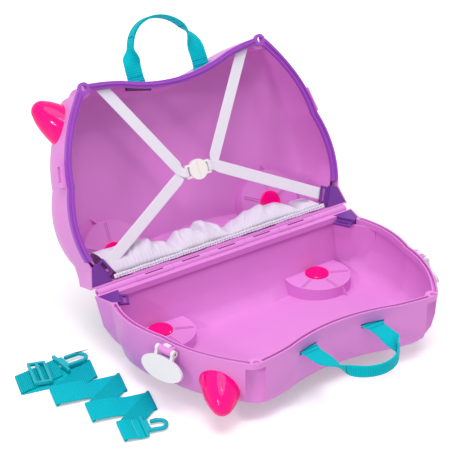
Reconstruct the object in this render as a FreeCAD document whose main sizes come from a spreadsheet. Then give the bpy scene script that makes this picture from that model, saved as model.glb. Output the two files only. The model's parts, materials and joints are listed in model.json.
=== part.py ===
import FreeCAD, Part
import math
import os

import Sketcher

# A child's ride-on suitcase, standing open.
# Each half is drawn in the closed case's own frame: x along the hinge (front end at -x), y from the
# hinge axis up to the saddle, z out of the split plane (near half at +z, far half at -z).
# In the finished frame +Z is up, the floor is Z = 0 and the hinge axis runs along X above the origin.
# The near half lies on the outer faces of its two wheels and the far half leans back on the hinge.

V = FreeCAD.Vector
DOC = FreeCAD.newDocument("ride_on_suitcase")
SHEET = DOC.addObject("Spreadsheet::Sheet", "Sizes")

SIZES = {
    # moulded halves
    "case_half_length": 230,
    "case_height": 280,
    "belly_depth_low": 96,
    "belly_depth_high": 72,
    "wall": 2.6,
    "end_round": 41,
    "corner_round": 60,
    "saddle_round": 15,
    "bottom_slope": 9,
    "bottom_arch": 24,
    "open_angle": 116.7,
    "part_gap": 0.25,
    "cut_overrun": 30,
    # rim of the near half
    "rim_width": 8.3,
    "rim_depth": 9,
    "groove_inset": 2.4,
    "groove_width": 4.2,
    "groove_depth": 5,
    # hinge
    "hinge_setback": 5.9,
    "hinge_length": 440,
    "knuckle_count": 7,
    "knuckle_radius": 5.5,
    "knuckle_gap": 0.4,
    "knuckle_root": 4,
    "hinge_pin_radius": 2,
    "running_clearance": 0.05,
    # rim seal of the far half
    "seal_clearance": 0.4,
    "seal_inset": 0.2,
    "seal_width": 10,
    "seal_overhang": 1.6,
    "seal_depth": 5.5,
    "seal_start": 44,
    "tongue_width": 1.8,
    "tongue_height": 3.5,
    "ledge_depth": 3.2,
    # eyelets at the top corners
    "eyelet_radius": 4.3,
    "eyelet_boss_radius": 8.6,
    "dimple_depth": 2.5,
    "flute_radius": 15,
    "flute_offset": 3.5,
    # wheels, wells and axles
    "wheel_y": 36.5,
    "wheel_radius": 45,
    "wheel_width": 28,
    "wheel_shoulder": 6,
    "wheel_pocket_count": 5,
    "wheel_pocket_depth": 14,
    "wheel_pocket_inner": 13,
    "wheel_pocket_outer": 36,
    "wheel_pocket_inner_half": 5,
    "wheel_pocket_outer_half": 15,
    "wheel_face_depth": 102.5,
    "drum_radius": 50,
    "drum_depth": 69.8,
    "trim_radius": 26,
    "trim_thickness": 4,
    "trim_edge": 2,
    "trim_clearance": 0.2,
    "trim_inset": 1,
    "axle_radius": 5,
    "axle_flange_radius": 9,
    "axle_flange_thickness": 2.5,
    "axle_play": 0.3,
    "axle_disc_radius": 17.6,
    "axle_disc_thickness": 3.4,
    "axle_disc_edge": 1.2,
    "axle_disc_skin": 1.2,
    "axle_disc_chord": 15.2,
    "drum_rib_width": 1.4,
    "drum_rib_height": 1.2,
    "drum_rib_gap": 3,
    "drum_fin_thickness": 2,
    "drum_fin_height": 17,
    "drum_fin_length": 12,
    "drum_fin_turn": 12,
    # grips on the front shoulders
    "grip_depth": 44.5,
    "grip_base_radius": 27,
    "grip_tip_radius": 15.5,
    "grip_length": 38,
    "grip_root": 16,
    # corner pieces at the hinge
    "corner_inset": 2.9,
    "corner_length": 34,
    "corner_rise": 30,
    "corner_top": 10,
    "corner_thickness": 7.5,
    "corner_clearance": 0.2,
    "frame_length": 13,
    "frame_thickness": 3,
    "frame_bar": 3.5,
    "frame_gap": 5,
    # end catches
    "catch_pin_out": 7,
    "catch_pin_depth": 8.5,
    "catch_pin_radius": 1.6,
    "catch_knuckle_radius": 5,
    "catch_knuckle_half": 11,
    "catch_knuckle_root": 6,
    "catch_side_gap": 0.4,
    "catch_lug": 5,
    "catch_plate_half_width": 36,
    "catch_plate_half_height": 16.5,
    "catch_plate_centre": 24.5,
    "catch_plate_thickness": 4,
    "catch_lean": 15,
    "catch_hook_half": 5,
    "catch_hook_start": 1,
    "catch_hook_rise": 2.4,
    "keeper_half": 19,
    "keeper_top": 4,
    "keeper_height": 16,
    "keeper_out": 4.6,
    "keeper_slot_half": 11,
    "keeper_slot_height": 8,
    # webbing handles
    "handle_slot_depth": 20.5,
    "handle_slot_half_length": 17.5,
    "handle_slot_half_height": 3.3,
    "handle_foot_width": 27,
    "handle_grip_width": 13,
    "handle_thickness": 2.4,
    "handle_grip_thickness": 4.6,
    "handle_rise_lid": 88,
    "handle_rise_base": 95,
    "handle_droop": 2,
    "handle_droop_start": 4,
    "handle_droop_end": 26,
    "handle_shift_base": -2,
    "handle_shift_lid": -6,
    "handle_bar_radius": 3.5,
    "handle_bar_length": 40,
    "handle_bar_gap": 0.2,
    "handle_wall_inset": 1.05,
    # luggage straps and buckle in the far half
    "elastic_width": 17,
    "elastic_thickness": 1.5,
    "elastic_depth": 6.6,
    "elastic_knot": 4.5,
    "buckle_x": -5.5,
    "buckle_radius": 15,
    "buckle_thickness": 6,
    "buckle_bar_half": 10,
    "buckle_bar_reach": 21,
    "buckle_bar_width": 3,
    "buckle_split": 0.3,
    "buckle_tongue_half": 6,
    "buckle_tongue_reach": 8,
    "buckle_tongue_thickness": 2.2,
    # gathered pocket along the hinge side of the far half
    "pocket_end_gap": 10.8,
    "pocket_front_y": 16.5,
    "pocket_top_y": 47,
    "pocket_top_depth": 34,
    "pocket_back_y": 45,
    "pocket_back_depth": 64,
    "pocket_thickness": 2.5,
    "pocket_fold_front": 1.6,
    "pocket_fold_top": 4,
    "pocket_fold_back": 4,
    "pocket_fold_count": 8,
    "pocket_edge_start": 0.5,
    "pocket_edge_end_gap": 4.8,
    "pocket_edge_width": 7,
    "pocket_edge_thickness": 3,
    # tow strap lying on the floor
    "tow_width": 46,
    "tow_thickness": 2,
    "tow_lift": 2.6,
    "tow_fold": 2.4,
    "hook_thickness": 5,
    "hook_length_long": 44,
    "hook_length_short": 36,
    "hook_turn": 18,
    "hook_wire": 5,
    "hook_bar": 5,
    "hook_gate_gap": 3,
    "slider_length": 26,
    "slider_bar": 4,
    "slider_thickness": 5,
}

for row, (alias, value) in enumerate(SIZES.items(), start=1):
    SHEET.set(f"A{row}", alias)
    SHEET.set(f"B{row}", str(value))
    SHEET.setAlias(f"B{row}", alias)
DOC.recompute()


def mm(alias):
    """Value of one named size."""
    return float(SHEET.get(alias))


OUT_Z = V(0, 0, 1)
ALONG_X = V(1, 0, 0)
ALONG_Y = V(0, 1, 0)
QUARTER_TURN = 90
HALF_TURN = 180
FULL_TURN = 360
AXIS_HEIGHT = mm("wheel_face_depth")
NEAR = FreeCAD.Placement(V(0, 0, AXIS_HEIGHT), FreeCAD.Rotation(ALONG_X, HALF_TURN))
FAR = FreeCAD.Placement(V(0, 0, AXIS_HEIGHT), FreeCAD.Rotation(ALONG_X, HALF_TURN - mm("open_angle")))
FLOOR = FreeCAD.Placement()
PARTS = []


def add_solid(label, shape, placement):
    """Put a finished shape into the document as one named sub-part."""
    piece = DOC.addObject("Part::Feature", label)
    piece.Label = label
    piece.Shape = shape
    piece.Placement = placement * shape.Placement
    PARTS.append(piece)
    return piece


def box(x0, x1, y0, y1, z0, z1):
    """Block between two opposite corners."""
    return Part.makeBox(x1 - x0, y1 - y0, z1 - z0, V(x0, y0, z0))


def prism(points, z0, z1):
    """Straight-sided block over a flat polygon."""
    corners = [V(x, y, z0) for x, y in points]
    face = Part.Face(Part.makePolygon(corners + corners[:1]))
    return face.extrude(V(0, 0, z1 - z0))


def fused(shapes):
    """One solid out of several that meet."""
    return shapes[0].multiFuse(shapes[1:]).removeSplitter()


# The moulded halves

# Outline of a half on the split plane, right-hand side: each point's share of the half length and of the
# height, then how far it follows the end, the corner, the saddle and the hinge side when they draw in
OUTLINE_SHARES = {
    "facet": (0.957, 0.122, 0.6, 0.4, 0, -0.5),
    "bulge": (1.0, 0.325, 1, 0, 0, 0),
    "waist": (0.950, 0.533, 1, 0, 0, 0),
    "shoulder": (0.881, 0.748, 0.9, 0, 0.2, 0),
    "ear": (0.713, 0.976, 0.75, 0, 0.75, 0),
    "ear_tip": (0.673, 0.997, 0.75, 0, 1, 0),
    "peak": (0.624, 1.0, 0.7, 0, 1, 0),
    "slope": (0.515, 0.990, 0.4, 0, 1, 0),
    "edge": (0.396, 0.9715, 0.2, 0, 1, 0),
    "middle": (0.0, 0.9146, 0, 0, 1, 0),
}
HINGE_CORNER_SHARE = 0.990

# Sections from the split plane out to the belly: depth, then how far each side draws in
DEPTH_SHARES = (0.0, 0.45, 0.75, 0.93, 1.0)
END_SHARES = (0.0, 0.055, 0.17, 0.50, 1.0)
CORNER_SHARES = (0.0, 0.13, 0.37, 0.65, 1.0)
BOTTOM_SHARES = (0.0, 0.45, 0.75, 0.93, 1.0)
ARCH_SHARES = (0.0, 0.08, 0.28, 0.70, 1.0)
SADDLE_ROUND_SHARES = (0.0, 0.10, 0.20, 0.45, 1.0)
# where along those sections the outlines are drawn: closer together where the form turns in
LEVEL_SHARES = (0.0, 0.3, 0.55, 0.72, 0.87, 1.0)


def bend(start, middle, end):
    """Parabola through three points."""
    curve = Part.BezierCurve()
    curve.setPoles([start, 2 * middle - (start + end) / 2, end])
    return curve


def outline_wire(end, corner, saddle, bottom, arch, low, high):
    """Closed outline of a half on the plane whose depth runs from low at the hinge to high at the top.

    end, corner, saddle and bottom draw the two ends, the hinge corners, the saddle and the hinge side
    inwards; arch lifts the middle of the hinge side.
    """
    half = mm("case_half_length")
    height = mm("case_height")

    def point(x, y):
        return V(x, y, low + (high - low) * y / height)

    def right(name):
        x, y, by_end, by_corner, by_saddle, by_bottom = OUTLINE_SHARES[name]
        return point(x * half - by_end * end - by_corner * corner,
                     y * height - by_saddle * saddle - by_bottom * bottom)

    def left(p):
        return V(-p.x, p.y, p.z)

    foot = point(HINGE_CORNER_SHARE * half - corner, mm("hinge_setback") + bottom)
    facet, bulge, waist, shoulder, ear, ear_tip, peak, slope, edge, middle = map(right, OUTLINE_SHARES)
    curves = [
        bend(left(foot), point(0, mm("hinge_setback") + bottom + arch), foot),
        Part.LineSegment(foot, facet),
        bend(facet, bulge, waist),
        bend(waist, shoulder, ear),
        bend(ear, ear_tip, peak),
        bend(peak, slope, edge),
        bend(edge, middle, left(edge)),
        bend(left(edge), left(slope), left(peak)),
        bend(left(peak), left(ear_tip), left(ear)),
        bend(left(ear), left(shoulder), left(waist)),
        bend(left(waist), left(bulge), left(facet)),
        Part.LineSegment(left(facet), left(foot)),
    ]
    return Part.Wire([curve.toShape() for curve in curves])


def section_share(shares, level):
    """Smooth value of a section table at a share of its length."""
    curve = Part.BSplineCurve()
    curve.interpolate(Points=[V(share, 0, 0) for share in shares], Parameters=list(range(len(shares))))
    return curve.value(level * (len(shares) - 1)).x


def moulded_body(wall):
    """Solid half: outer form for wall 0, or the space inside walls of that thickness."""
    sections = []
    for level in LEVEL_SHARES:
        depth = section_share(DEPTH_SHARES, level)
        sections.append(outline_wire(
            section_share(END_SHARES, level) * mm("end_round") + wall,
            section_share(CORNER_SHARES, level) * mm("corner_round") + wall,
            section_share(SADDLE_ROUND_SHARES, level) * mm("saddle_round") + wall,
            section_share(BOTTOM_SHARES, level) * mm("bottom_slope") + wall,
            section_share(ARCH_SHARES, level) * mm("bottom_arch"),
            depth * (mm("belly_depth_low") - wall),
            depth * (mm("belly_depth_high") - wall)))
    return Part.makeLoft(sections, True, True)


def rim_band(outer, inner, z0, z1):
    """Band round the rim between two insets from the outline."""
    bands = []
    for inset in (outer, inner):
        face = Part.Face(outline_wire(inset, inset, inset, inset, 0, z0, z0))
        bands.append(face.extrude(V(0, 0, z1 - z0)))
    return bands[0].cut(bands[1])


def above_corners(start):
    """Everything further than start from the hinge."""
    far = mm("case_half_length") + mm("cut_overrun")
    return box(-far, far, start, mm("case_height") + mm("cut_overrun"), -far, far)


def post(x, y, radius, z0, z1):
    """Upright cylinder across the split plane."""
    return Part.makeCylinder(radius, z1 - z0, V(x, y, z0), OUT_Z)


# Places of the fittings as shares of the half length and the height
EYELET_SHARES = (0.663, 0.984)
GRIP_SHARES = (-0.765, 0.8214)
WHEEL_SHARE = 0.6087
HANDLE_SHARE = 0.2435
STRAP_RIM_SHARES = (0.552, 0.990)
BUCKLE_SHARE = 0.432


def along_case(share):
    """Distance along the hinge from the middle of the case."""
    return share * mm("case_half_length")


def up_case(share):
    """Distance from the hinge towards the saddle."""
    return share * mm("case_height")


ENDS = (-1, 1)
OUTER = moulded_body(0)
OPEN_DEPTH = mm("belly_depth_low") + mm("cut_overrun")
EYELETS = [(end * along_case(EYELET_SHARES[0]), up_case(EYELET_SHARES[1])) for end in ENDS]
# the flutes below the eyelets lie further out, along the line of the corner
FLUTES = [(x * (1 + mm("flute_offset") / mm("case_height")), y + mm("flute_offset")) for x, y in EYELETS]
WHEEL_PLACES = [(end * along_case(WHEEL_SHARE), mm("wheel_y")) for end in ENDS]
DRUM_FLOOR = mm("drum_depth") + mm("wall")
RIB_ANGLES = (25, 90, 155)


def saddle_height(x):
    """Height of the saddle's rim over a place along the hinge."""
    edge_x, edge_y = OUTLINE_SHARES["edge"][:2]
    middle_y = OUTLINE_SHARES["middle"][1]
    run = x / (edge_x * mm("case_half_length"))
    return (middle_y + (edge_y - middle_y) * run ** 2) * mm("case_height")


def drum_details(x, y):
    """Raised double ribs on top of a wheel drum, and its fin towards the saddle."""
    top = mm("drum_depth")
    inner = mm("axle_disc_radius") + mm("drum_rib_gap")
    outer = mm("drum_radius") - mm("drum_rib_gap")
    details = []
    for angle in RIB_ANGLES:
        for side in ENDS:
            low = side * mm("drum_rib_gap") / 2 - mm("drum_rib_width") / 2
            rib = box(inner, outer, low, low + mm("drum_rib_width"),
                      top - mm("drum_rib_height"), top + mm("wall") / 2)
            rib.rotate(V(0, 0, 0), OUT_Z, angle)
            rib.translate(V(x, y, 0))
            details.append(rib)
    reach = mm("drum_radius") - mm("wall") / 2
    fin = prism([(0, 0), (mm("drum_fin_length"), 0), (0, mm("drum_fin_height"))],
                -mm("drum_fin_thickness") / 2, mm("drum_fin_thickness") / 2)
    fin.rotate(V(0, 0, 0), ALONG_X, -QUARTER_TURN)
    fin.translate(V(reach, 0, mm("drum_depth") + mm("drum_fin_height") + mm("drum_rib_height")))
    fin.rotate(V(0, 0, 0), OUT_Z, QUARTER_TURN - math.copysign(mm("drum_fin_turn"), x))
    fin.translate(V(x, y, 0))
    details.append(fin)
    return details


# Corner pieces sit in pockets of both halves at the hinge


def corner_points(end, grow):
    """Polygon of a corner piece on the split plane, grown for its pocket."""
    facet_x, facet_y = OUTLINE_SHARES["facet"][:2]
    x_out = HINGE_CORNER_SHARE * mm("case_half_length") - mm("corner_inset")
    x_facet = facet_x * mm("case_half_length") - mm("corner_inset")
    y_low = mm("hinge_setback") + mm("corner_inset")
    y_facet = facet_y * mm("case_height")
    points = [
        (x_out + grow, y_low - grow),
        (x_facet + grow, y_facet + grow),
        (x_facet - mm("corner_top") + grow, y_low + mm("corner_rise") + grow),
        (x_out - mm("corner_length") - grow, y_low - grow),
    ]
    return [(end * x, y) for x, y in points]


def corner_wall(end):
    """Wall across a hinge corner, below the corner piece."""
    low = V(*corner_points(1, 0)[3], 0)
    top = V(*corner_points(1, 0)[2], 0)
    along = (top - low).normalize()
    side = V(-along.y, along.x, 0) * mm("wall")
    start = low - along * mm("corner_length")
    stop = top + along * mm("corner_length")
    points = [(end * place.x, place.y) for place in (start, stop, stop - side, start - side)]
    return prism(points, mm("part_gap") + mm("corner_thickness") + mm("corner_clearance"), OPEN_DEPTH)


def half_shell():
    """What both halves share: walls, wheel drums open to the outside, handle slots and axle holes."""
    top = mm("rim_depth")
    flutes = [post(x, y, mm("flute_radius"), top, OPEN_DEPTH) for x, y in FLUTES]
    flute_walls = [post(x, y, mm("flute_radius") + mm("wall"), top - mm("wall"), OPEN_DEPTH)
                   for x, y in FLUTES]
    shell = OUTER.cut(flutes).cut(moulded_body(mm("wall")).cut(flute_walls))
    drums = []
    for x, y in WHEEL_PLACES:
        drums.append(post(x, y, mm("drum_radius"), mm("drum_depth"), OPEN_DEPTH).common(OUTER))
        drums.extend(drum_details(x, y))
    walls = [corner_wall(end).common(OUTER) for end in ENDS]
    shell = shell.multiFuse(drums + walls)
    for x, y in WHEEL_PLACES:
        shell = shell.cut(post(x, y, mm("drum_radius") - mm("wall"), DRUM_FLOOR, OPEN_DEPTH))
        shell = shell.cut(post(x, y, mm("axle_radius") + mm("running_clearance"), 0, OPEN_DEPTH))
    for end in ENDS:
        x = end * along_case(HANDLE_SHARE)
        y = saddle_height(x)
        slot = box(-mm("handle_slot_half_length"), mm("handle_slot_half_length"),
                   -mm("cut_overrun") / 2, mm("cut_overrun"),
                   mm("handle_slot_depth") - mm("handle_slot_half_height"),
                   mm("handle_slot_depth") + mm("handle_slot_half_height"))
        slot.translate(V(x, y, 0))
        shell = shell.cut(slot)
    return shell


def knuckles(first, side):
    """Every second knuckle of the hinge, with its root on the half at that side of the split plane."""
    count = int(mm("knuckle_count"))
    pitch = mm("hinge_length") / count
    solids = []
    for index in range(first, count, 2):
        x0 = index * pitch - mm("hinge_length") / 2 + mm("knuckle_gap") / 2
        x1 = x0 + pitch - mm("knuckle_gap")
        barrel = Part.makeCylinder(mm("knuckle_radius"), x1 - x0, V(x0, 0, 0), ALONG_X)
        depths = sorted((side * mm("part_gap"), side * mm("knuckle_radius")))
        root = box(x0, x1, 0, mm("hinge_setback") + mm("knuckle_root"), *depths)
        solids.append(barrel.fuse(root))
    return solids


HINGE_BORE = Part.makeCylinder(mm("hinge_pin_radius") + mm("running_clearance"), 2 * mm("case_half_length"),
                               V(-mm("case_half_length"), 0, 0), ALONG_X)

# The catch stands square to the end wall, a little above the middle of the case
CATCH_PLACE_SHARE = 0.17


def catch_frame(end):
    """Point on the outline and outward direction (degrees) where an end catch stands."""
    half = mm("case_half_length")
    height = mm("case_height")
    corners = [V(end * OUTLINE_SHARES[name][0] * half, OUTLINE_SHARES[name][1] * height, 0)
               for name in ("waist", "shoulder", "ear")]
    curve = bend(*corners)
    along = curve.tangent(CATCH_PLACE_SHARE)[0]
    return curve.value(CATCH_PLACE_SHARE), math.degrees(math.atan2(-end * along.x, end * along.y))


def at_catch(shape, end):
    """Carry a shape drawn with x outward, y along the rim and z in depth to its place on an end."""
    point, angle = catch_frame(end)
    placed = shape.copy()
    placed.rotate(V(0, 0, 0), OUT_Z, angle)
    placed.translate(point)
    return placed


def catch_knuckle():
    """Knuckle on the near half that carries a catch on its pin."""
    half = mm("catch_knuckle_half")
    radius = mm("catch_knuckle_radius")
    depth = mm("catch_pin_depth")
    out = mm("catch_pin_out")
    block = box(-mm("catch_knuckle_root"), out, -half, half, depth - radius, depth + radius)
    nose = Part.makeCylinder(radius, 2 * half, V(out, -half, depth), ALONG_Y)
    return block.fuse(nose)


def keeper():
    """Loop on the far half that a catch closes over."""
    top = mm("keeper_top")
    low = top + mm("keeper_height")
    loop = box(-mm("catch_knuckle_root"), mm("keeper_out"), -mm("keeper_half"), mm("keeper_half"), -low, -top)
    middle = (top + low) / 2
    slot = box(mm("wall") / 2, mm("cut_overrun"), -mm("keeper_slot_half"), mm("keeper_slot_half"),
               -middle - mm("keeper_slot_height") / 2, -middle + mm("keeper_slot_height") / 2)
    return loop.cut(slot)


def split_slab(side):
    """Thin slab kept clear on one side of the split plane, beyond the hinge knuckles."""
    far = mm("case_half_length") + mm("cut_overrun")
    depths = sorted((0, side * mm("part_gap")))
    return box(-far, far, mm("hinge_setback"), mm("case_height") + mm("cut_overrun"), *depths)


HALF = half_shell()
INSIDE = moulded_body(mm("wall"))


def base_shell():
    """Near half: grooved rim, dimpled corners, knuckles and catch knuckles."""
    rim = rim_band(0, mm("rim_width"), 0, mm("rim_depth")).common(OUTER)
    bosses = [post(x, y, mm("eyelet_boss_radius") + mm("wall"), 0, mm("rim_depth")).common(OUTER)
              for x, y in EYELETS]
    catches = [at_catch(catch_knuckle(), end).cut(INSIDE) for end in ENDS]
    shell = HALF.multiFuse([rim] + bosses + catches + knuckles(0, 1))
    groove = rim_band(mm("groove_inset"), mm("groove_inset") + mm("groove_width"), 0,
                      mm("part_gap") + mm("groove_depth"))
    keep = [post(x, y, mm("eyelet_boss_radius"), 0, mm("rim_depth")) for x, y in EYELETS]
    cuts = [groove.common(above_corners(mm("seal_start") - mm("groove_width"))).cut(keep),
            split_slab(1), HINGE_BORE]
    for x, y in EYELETS:
        cuts.append(post(x, y, mm("eyelet_radius"), 0, mm("part_gap") + mm("dimple_depth")))
    for end in ENDS:
        cuts.append(prism(corner_points(end, mm("corner_clearance")), 0,
                          mm("part_gap") + mm("corner_thickness")))
        pin = Part.makeCylinder(mm("catch_pin_radius") + mm("running_clearance"),
                                2 * mm("catch_plate_half_width"),
                                V(mm("catch_pin_out"), -mm("catch_plate_half_width"), mm("catch_pin_depth")),
                                ALONG_Y)
        cuts.append(at_catch(pin, end).cut(INSIDE))
    for cut in cuts:
        shell = shell.cut(cut)
    return shell.removeSplitter()


def lid_shell():
    """Far half: ledge under the rim seal, eyelets, keepers and the other knuckles."""
    mirror = HALF.mirror(V(0, 0, 0), OUT_Z)
    outer = OUTER.mirror(V(0, 0, 0), OUT_Z)
    inside = INSIDE.mirror(V(0, 0, 0), OUT_Z)
    top = mm("part_gap") + mm("seal_depth")
    inner = mm("seal_inset") + mm("seal_width")
    ledge = rim_band(0, inner - mm("seal_overhang"), -top - mm("ledge_depth"), -top).common(outer)
    ledge = ledge.common(above_corners(mm("seal_start")))
    bosses = [post(x, y, mm("eyelet_boss_radius") + mm("wall"), -top - mm("ledge_depth"), -top).common(outer)
              for x, y in EYELETS]
    keepers = [at_catch(keeper(), end).cut(inside) for end in ENDS]
    shell = mirror.multiFuse([ledge] + bosses + keepers + knuckles(1, -1))
    seat = rim_band(0, inner, -top, 0).common(above_corners(mm("seal_start") - mm("seal_clearance")))
    cuts = [seat, split_slab(-1), HINGE_BORE]
    for x, y in EYELETS:
        cuts.append(post(x, y, mm("eyelet_radius"), -mm("rim_depth") - mm("cut_overrun"), 0))
        cuts.append(post(x, y, mm("eyelet_boss_radius") + mm("seal_clearance"), -top, 0))
    for end in ENDS:
        cuts.append(prism(corner_points(end, mm("corner_clearance")),
                          -mm("part_gap") - mm("corner_thickness"), 0))
    for cut in cuts:
        shell = shell.cut(cut)
    return shell.removeSplitter()


def lid_rim_seal():
    """Dark seal in the far half's rim, with a tongue for the near half's groove and two eyelets."""
    outer = mm("seal_inset")
    low = -mm("part_gap") - mm("seal_depth")
    band = rim_band(outer, outer + mm("seal_width"), low, -mm("part_gap"))
    inset = mm("groove_inset") + (mm("groove_width") - mm("tongue_width")) / 2
    tongue = rim_band(inset, inset + mm("tongue_width"), -mm("part_gap") - mm("wall"), mm("tongue_height"))
    keep = [post(x, y, mm("eyelet_boss_radius") + mm("seal_clearance"), -mm("rim_depth"), mm("rim_depth"))
            for x, y in EYELETS]
    bosses = [post(x, y, mm("eyelet_boss_radius"), low, -mm("part_gap")) for x, y in EYELETS]
    seal = band.fuse(tongue.cut(keep)).common(above_corners(mm("seal_start")))
    seal = seal.multiFuse(bosses)
    for x, y in EYELETS:
        seal = seal.cut(post(x, y, mm("eyelet_radius"), -mm("rim_depth"), mm("rim_depth")))
    return seal.removeSplitter()


add_solid("base_shell", base_shell(), NEAR)
add_solid("lid_shell", lid_shell(), FAR)
add_solid("lid_rim_seal", lid_rim_seal(), FAR)

hinge_pin = DOC.addObject("Part::Cylinder", "hinge_pin")
hinge_pin.setExpression("Radius", "Sizes.hinge_pin_radius")
hinge_pin.setExpression("Height", "Sizes.hinge_length")
hinge_pin.Placement = NEAR * FreeCAD.Placement(V(-mm("hinge_length") / 2, 0, 0),
                                               FreeCAD.Rotation(ALONG_Y, QUARTER_TURN))
PARTS.append(hinge_pin)

# Wheels, trims, axle pins and discs: turned pieces, drawn from the wheel's outer face inwards


def bound(text):
    """Expression over the sheet for a sum of named sizes."""
    return " ".join(word if word in ("+", "-") else f"Sizes.{word}" for word in text.split())


def total(text):
    """Number for the same sum of named sizes."""
    amount = 0
    sign = 1
    for word in text.split():
        if word in ("+", "-"):
            sign = 1 if word == "+" else -1
        else:
            amount += sign * mm(word)
    return amount


def polygon_sketch(body, name, role, corners):
    """Closed polygon whose corners are sums of named sizes; an empty sum lies on the axis."""
    sketch = body.newObject("Sketcher::SketchObject", name)
    plane = next(feature for feature in body.Origin.OriginFeatures if feature.Role == role)
    sketch.AttachmentSupport = (plane, [""])
    sketch.MapMode = "FlatFace"
    places = [V(total(x), total(y), 0) for x, y in corners]
    for index, place in enumerate(places):
        sketch.addGeometry(Part.LineSegment(place, places[(index + 1) % len(places)]))
    for index in range(len(corners)):
        sketch.addConstraint(Sketcher.Constraint("Coincident", index, 2, (index + 1) % len(corners), 1))
    for index, corner in enumerate(corners):
        for kind, axis, text in zip(("DistanceX", "DistanceY"), (-2, -1), corner):
            if text:
                number = sketch.addConstraint(Sketcher.Constraint(kind, -1, 1, index, 1, total(text)))
                sketch.setExpression(f"Constraints[{number}]", bound(text))
            else:
                sketch.addConstraint(Sketcher.Constraint("PointOnObject", index, 1, axis))
    return sketch


def turned(label, corners, placement):
    """Piece turned about its own z axis from a profile of radius and depth."""
    body = DOC.addObject("PartDesign::Body", label)
    profile = polygon_sketch(body, f"{label}_profile", "XZ_Plane", corners)
    turn = body.newObject("PartDesign::Revolution", f"{label}_turn")
    turn.Profile = profile
    turn.ReferenceAxis = (profile, ["V_Axis"])
    turn.Angle = FULL_TURN
    body.Tip = turn
    body.Placement = placement
    PARTS.append(body)
    return body


TRIM_SEAT = "trim_inset + trim_thickness"
FLANGE_FACE = f"{TRIM_SEAT} + axle_play"
FLANGE_BACK = f"{FLANGE_FACE} + axle_flange_thickness"
FLANGE_SEAT = f"{FLANGE_BACK} + axle_play"
DRUM_SEAT = "wheel_face_depth - drum_depth"
DISC_TOP = f"{DRUM_SEAT} + axle_disc_thickness"
PIN_END = f"{DISC_TOP} - axle_disc_skin"
AXLE_BORE = "axle_radius + running_clearance"

WHEEL_PROFILE = [
    (AXLE_BORE, "wheel_width"),
    ("wheel_radius - wheel_shoulder", "wheel_width"),
    ("wheel_radius", "wheel_width - wheel_shoulder"),
    ("wheel_radius", "wheel_shoulder"),
    ("wheel_radius - wheel_shoulder", ""),
    ("trim_radius + trim_clearance", ""),
    ("trim_radius + trim_clearance", TRIM_SEAT),
    ("axle_flange_radius + axle_play", TRIM_SEAT),
    ("axle_flange_radius + axle_play", FLANGE_SEAT),
    (AXLE_BORE, FLANGE_SEAT),
]
TRIM_PROFILE = [
    ("", "trim_inset"),
    ("trim_radius - trim_edge", "trim_inset"),
    ("trim_radius", "trim_inset + trim_edge"),
    ("trim_radius", TRIM_SEAT),
    ("", TRIM_SEAT),
]
AXLE_PROFILE = [
    ("", FLANGE_FACE),
    ("axle_flange_radius", FLANGE_FACE),
    ("axle_flange_radius", FLANGE_BACK),
    ("axle_radius", FLANGE_BACK),
    ("axle_radius", PIN_END),
    ("", PIN_END),
]
DISC_PROFILE = [
    (AXLE_BORE, DRUM_SEAT),
    ("axle_disc_radius", DRUM_SEAT),
    ("axle_disc_radius", f"{DISC_TOP} - axle_disc_edge"),
    ("axle_disc_radius - axle_disc_edge", DISC_TOP),
    ("", DISC_TOP),
    ("", PIN_END),
    (AXLE_BORE, PIN_END),
]
WHEEL_POCKET = [
    ("wheel_pocket_inner", "- wheel_pocket_inner_half"),
    ("wheel_pocket_outer", "- wheel_pocket_outer_half"),
    ("wheel_pocket_outer", "wheel_pocket_outer_half"),
    ("wheel_pocket_inner", "wheel_pocket_inner_half"),
]


def wheel(label, placement):
    """Wheel turned from its profile, with a ring of hollows moulded into its inner face."""
    body = turned(label, WHEEL_PROFILE, placement)
    outline = polygon_sketch(body, f"{label}_hollow_outline", "XY_Plane", WHEEL_POCKET)
    outline.setExpression("AttachmentOffset.Base.z", "Sizes.wheel_width")
    hollow = body.newObject("PartDesign::Pocket", f"{label}_hollow")
    hollow.Profile = outline
    hollow.setExpression("Length", "Sizes.wheel_pocket_depth")
    ring = body.newObject("PartDesign::PolarPattern", f"{label}_hollows")
    ring.Originals = [hollow]
    ring.Axis = (outline, ["N_Axis"])
    ring.Angle = FULL_TURN
    ring.setExpression("Occurrences", "Sizes.wheel_pocket_count")
    body.Tip = ring


def axle_disc(label, placement, hinge_side):
    """Disc over the pin's end, cut off straight where the hinge-side wall passes it."""
    body = turned(label, DISC_PROFILE, placement)
    sign = "" if hinge_side > 0 else "- "
    outline = polygon_sketch(body, f"{label}_chord_outline", "XY_Plane", [
        ("axle_disc_radius", f"{sign}axle_disc_chord"),
        ("axle_disc_radius", f"{sign}axle_disc_radius"),
        ("- axle_disc_radius", f"{sign}axle_disc_radius"),
        ("- axle_disc_radius", f"{sign}axle_disc_chord"),
    ])
    chord = body.newObject("PartDesign::Pocket", f"{label}_chord")
    chord.Profile = outline
    chord.Type = "ThroughAll"
    chord.Reversed = True
    body.Tip = chord


TURN_OVER = FreeCAD.Rotation(ALONG_X, HALF_TURN)
for end, end_name in zip(ENDS, ("front", "rear")):
    for half_name in ("base", "lid"):
        if half_name == "base":
            centre = V(end * along_case(WHEEL_SHARE), mm("wheel_y"), AXIS_HEIGHT)
            at_axle = NEAR * FreeCAD.Placement(centre, TURN_OVER)
        else:
            at_axle = FAR * FreeCAD.Placement(V(end * along_case(WHEEL_SHARE), mm("wheel_y"), -AXIS_HEIGHT),
                                              FreeCAD.Rotation())
        wheel(f"wheel_{half_name}_{end_name}", at_axle)
        turned(f"trim_{half_name}_{end_name}", TRIM_PROFILE, at_axle)
        turned(f"axle_{half_name}_{end_name}", AXLE_PROFILE, at_axle)
        axle_disc(f"disc_{half_name}_{end_name}", at_axle, 1 if half_name == "base" else -1)

# Corner pieces with their strap frames
FRAME_SPAN_SHARES = (0.18, 0.92)


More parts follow.
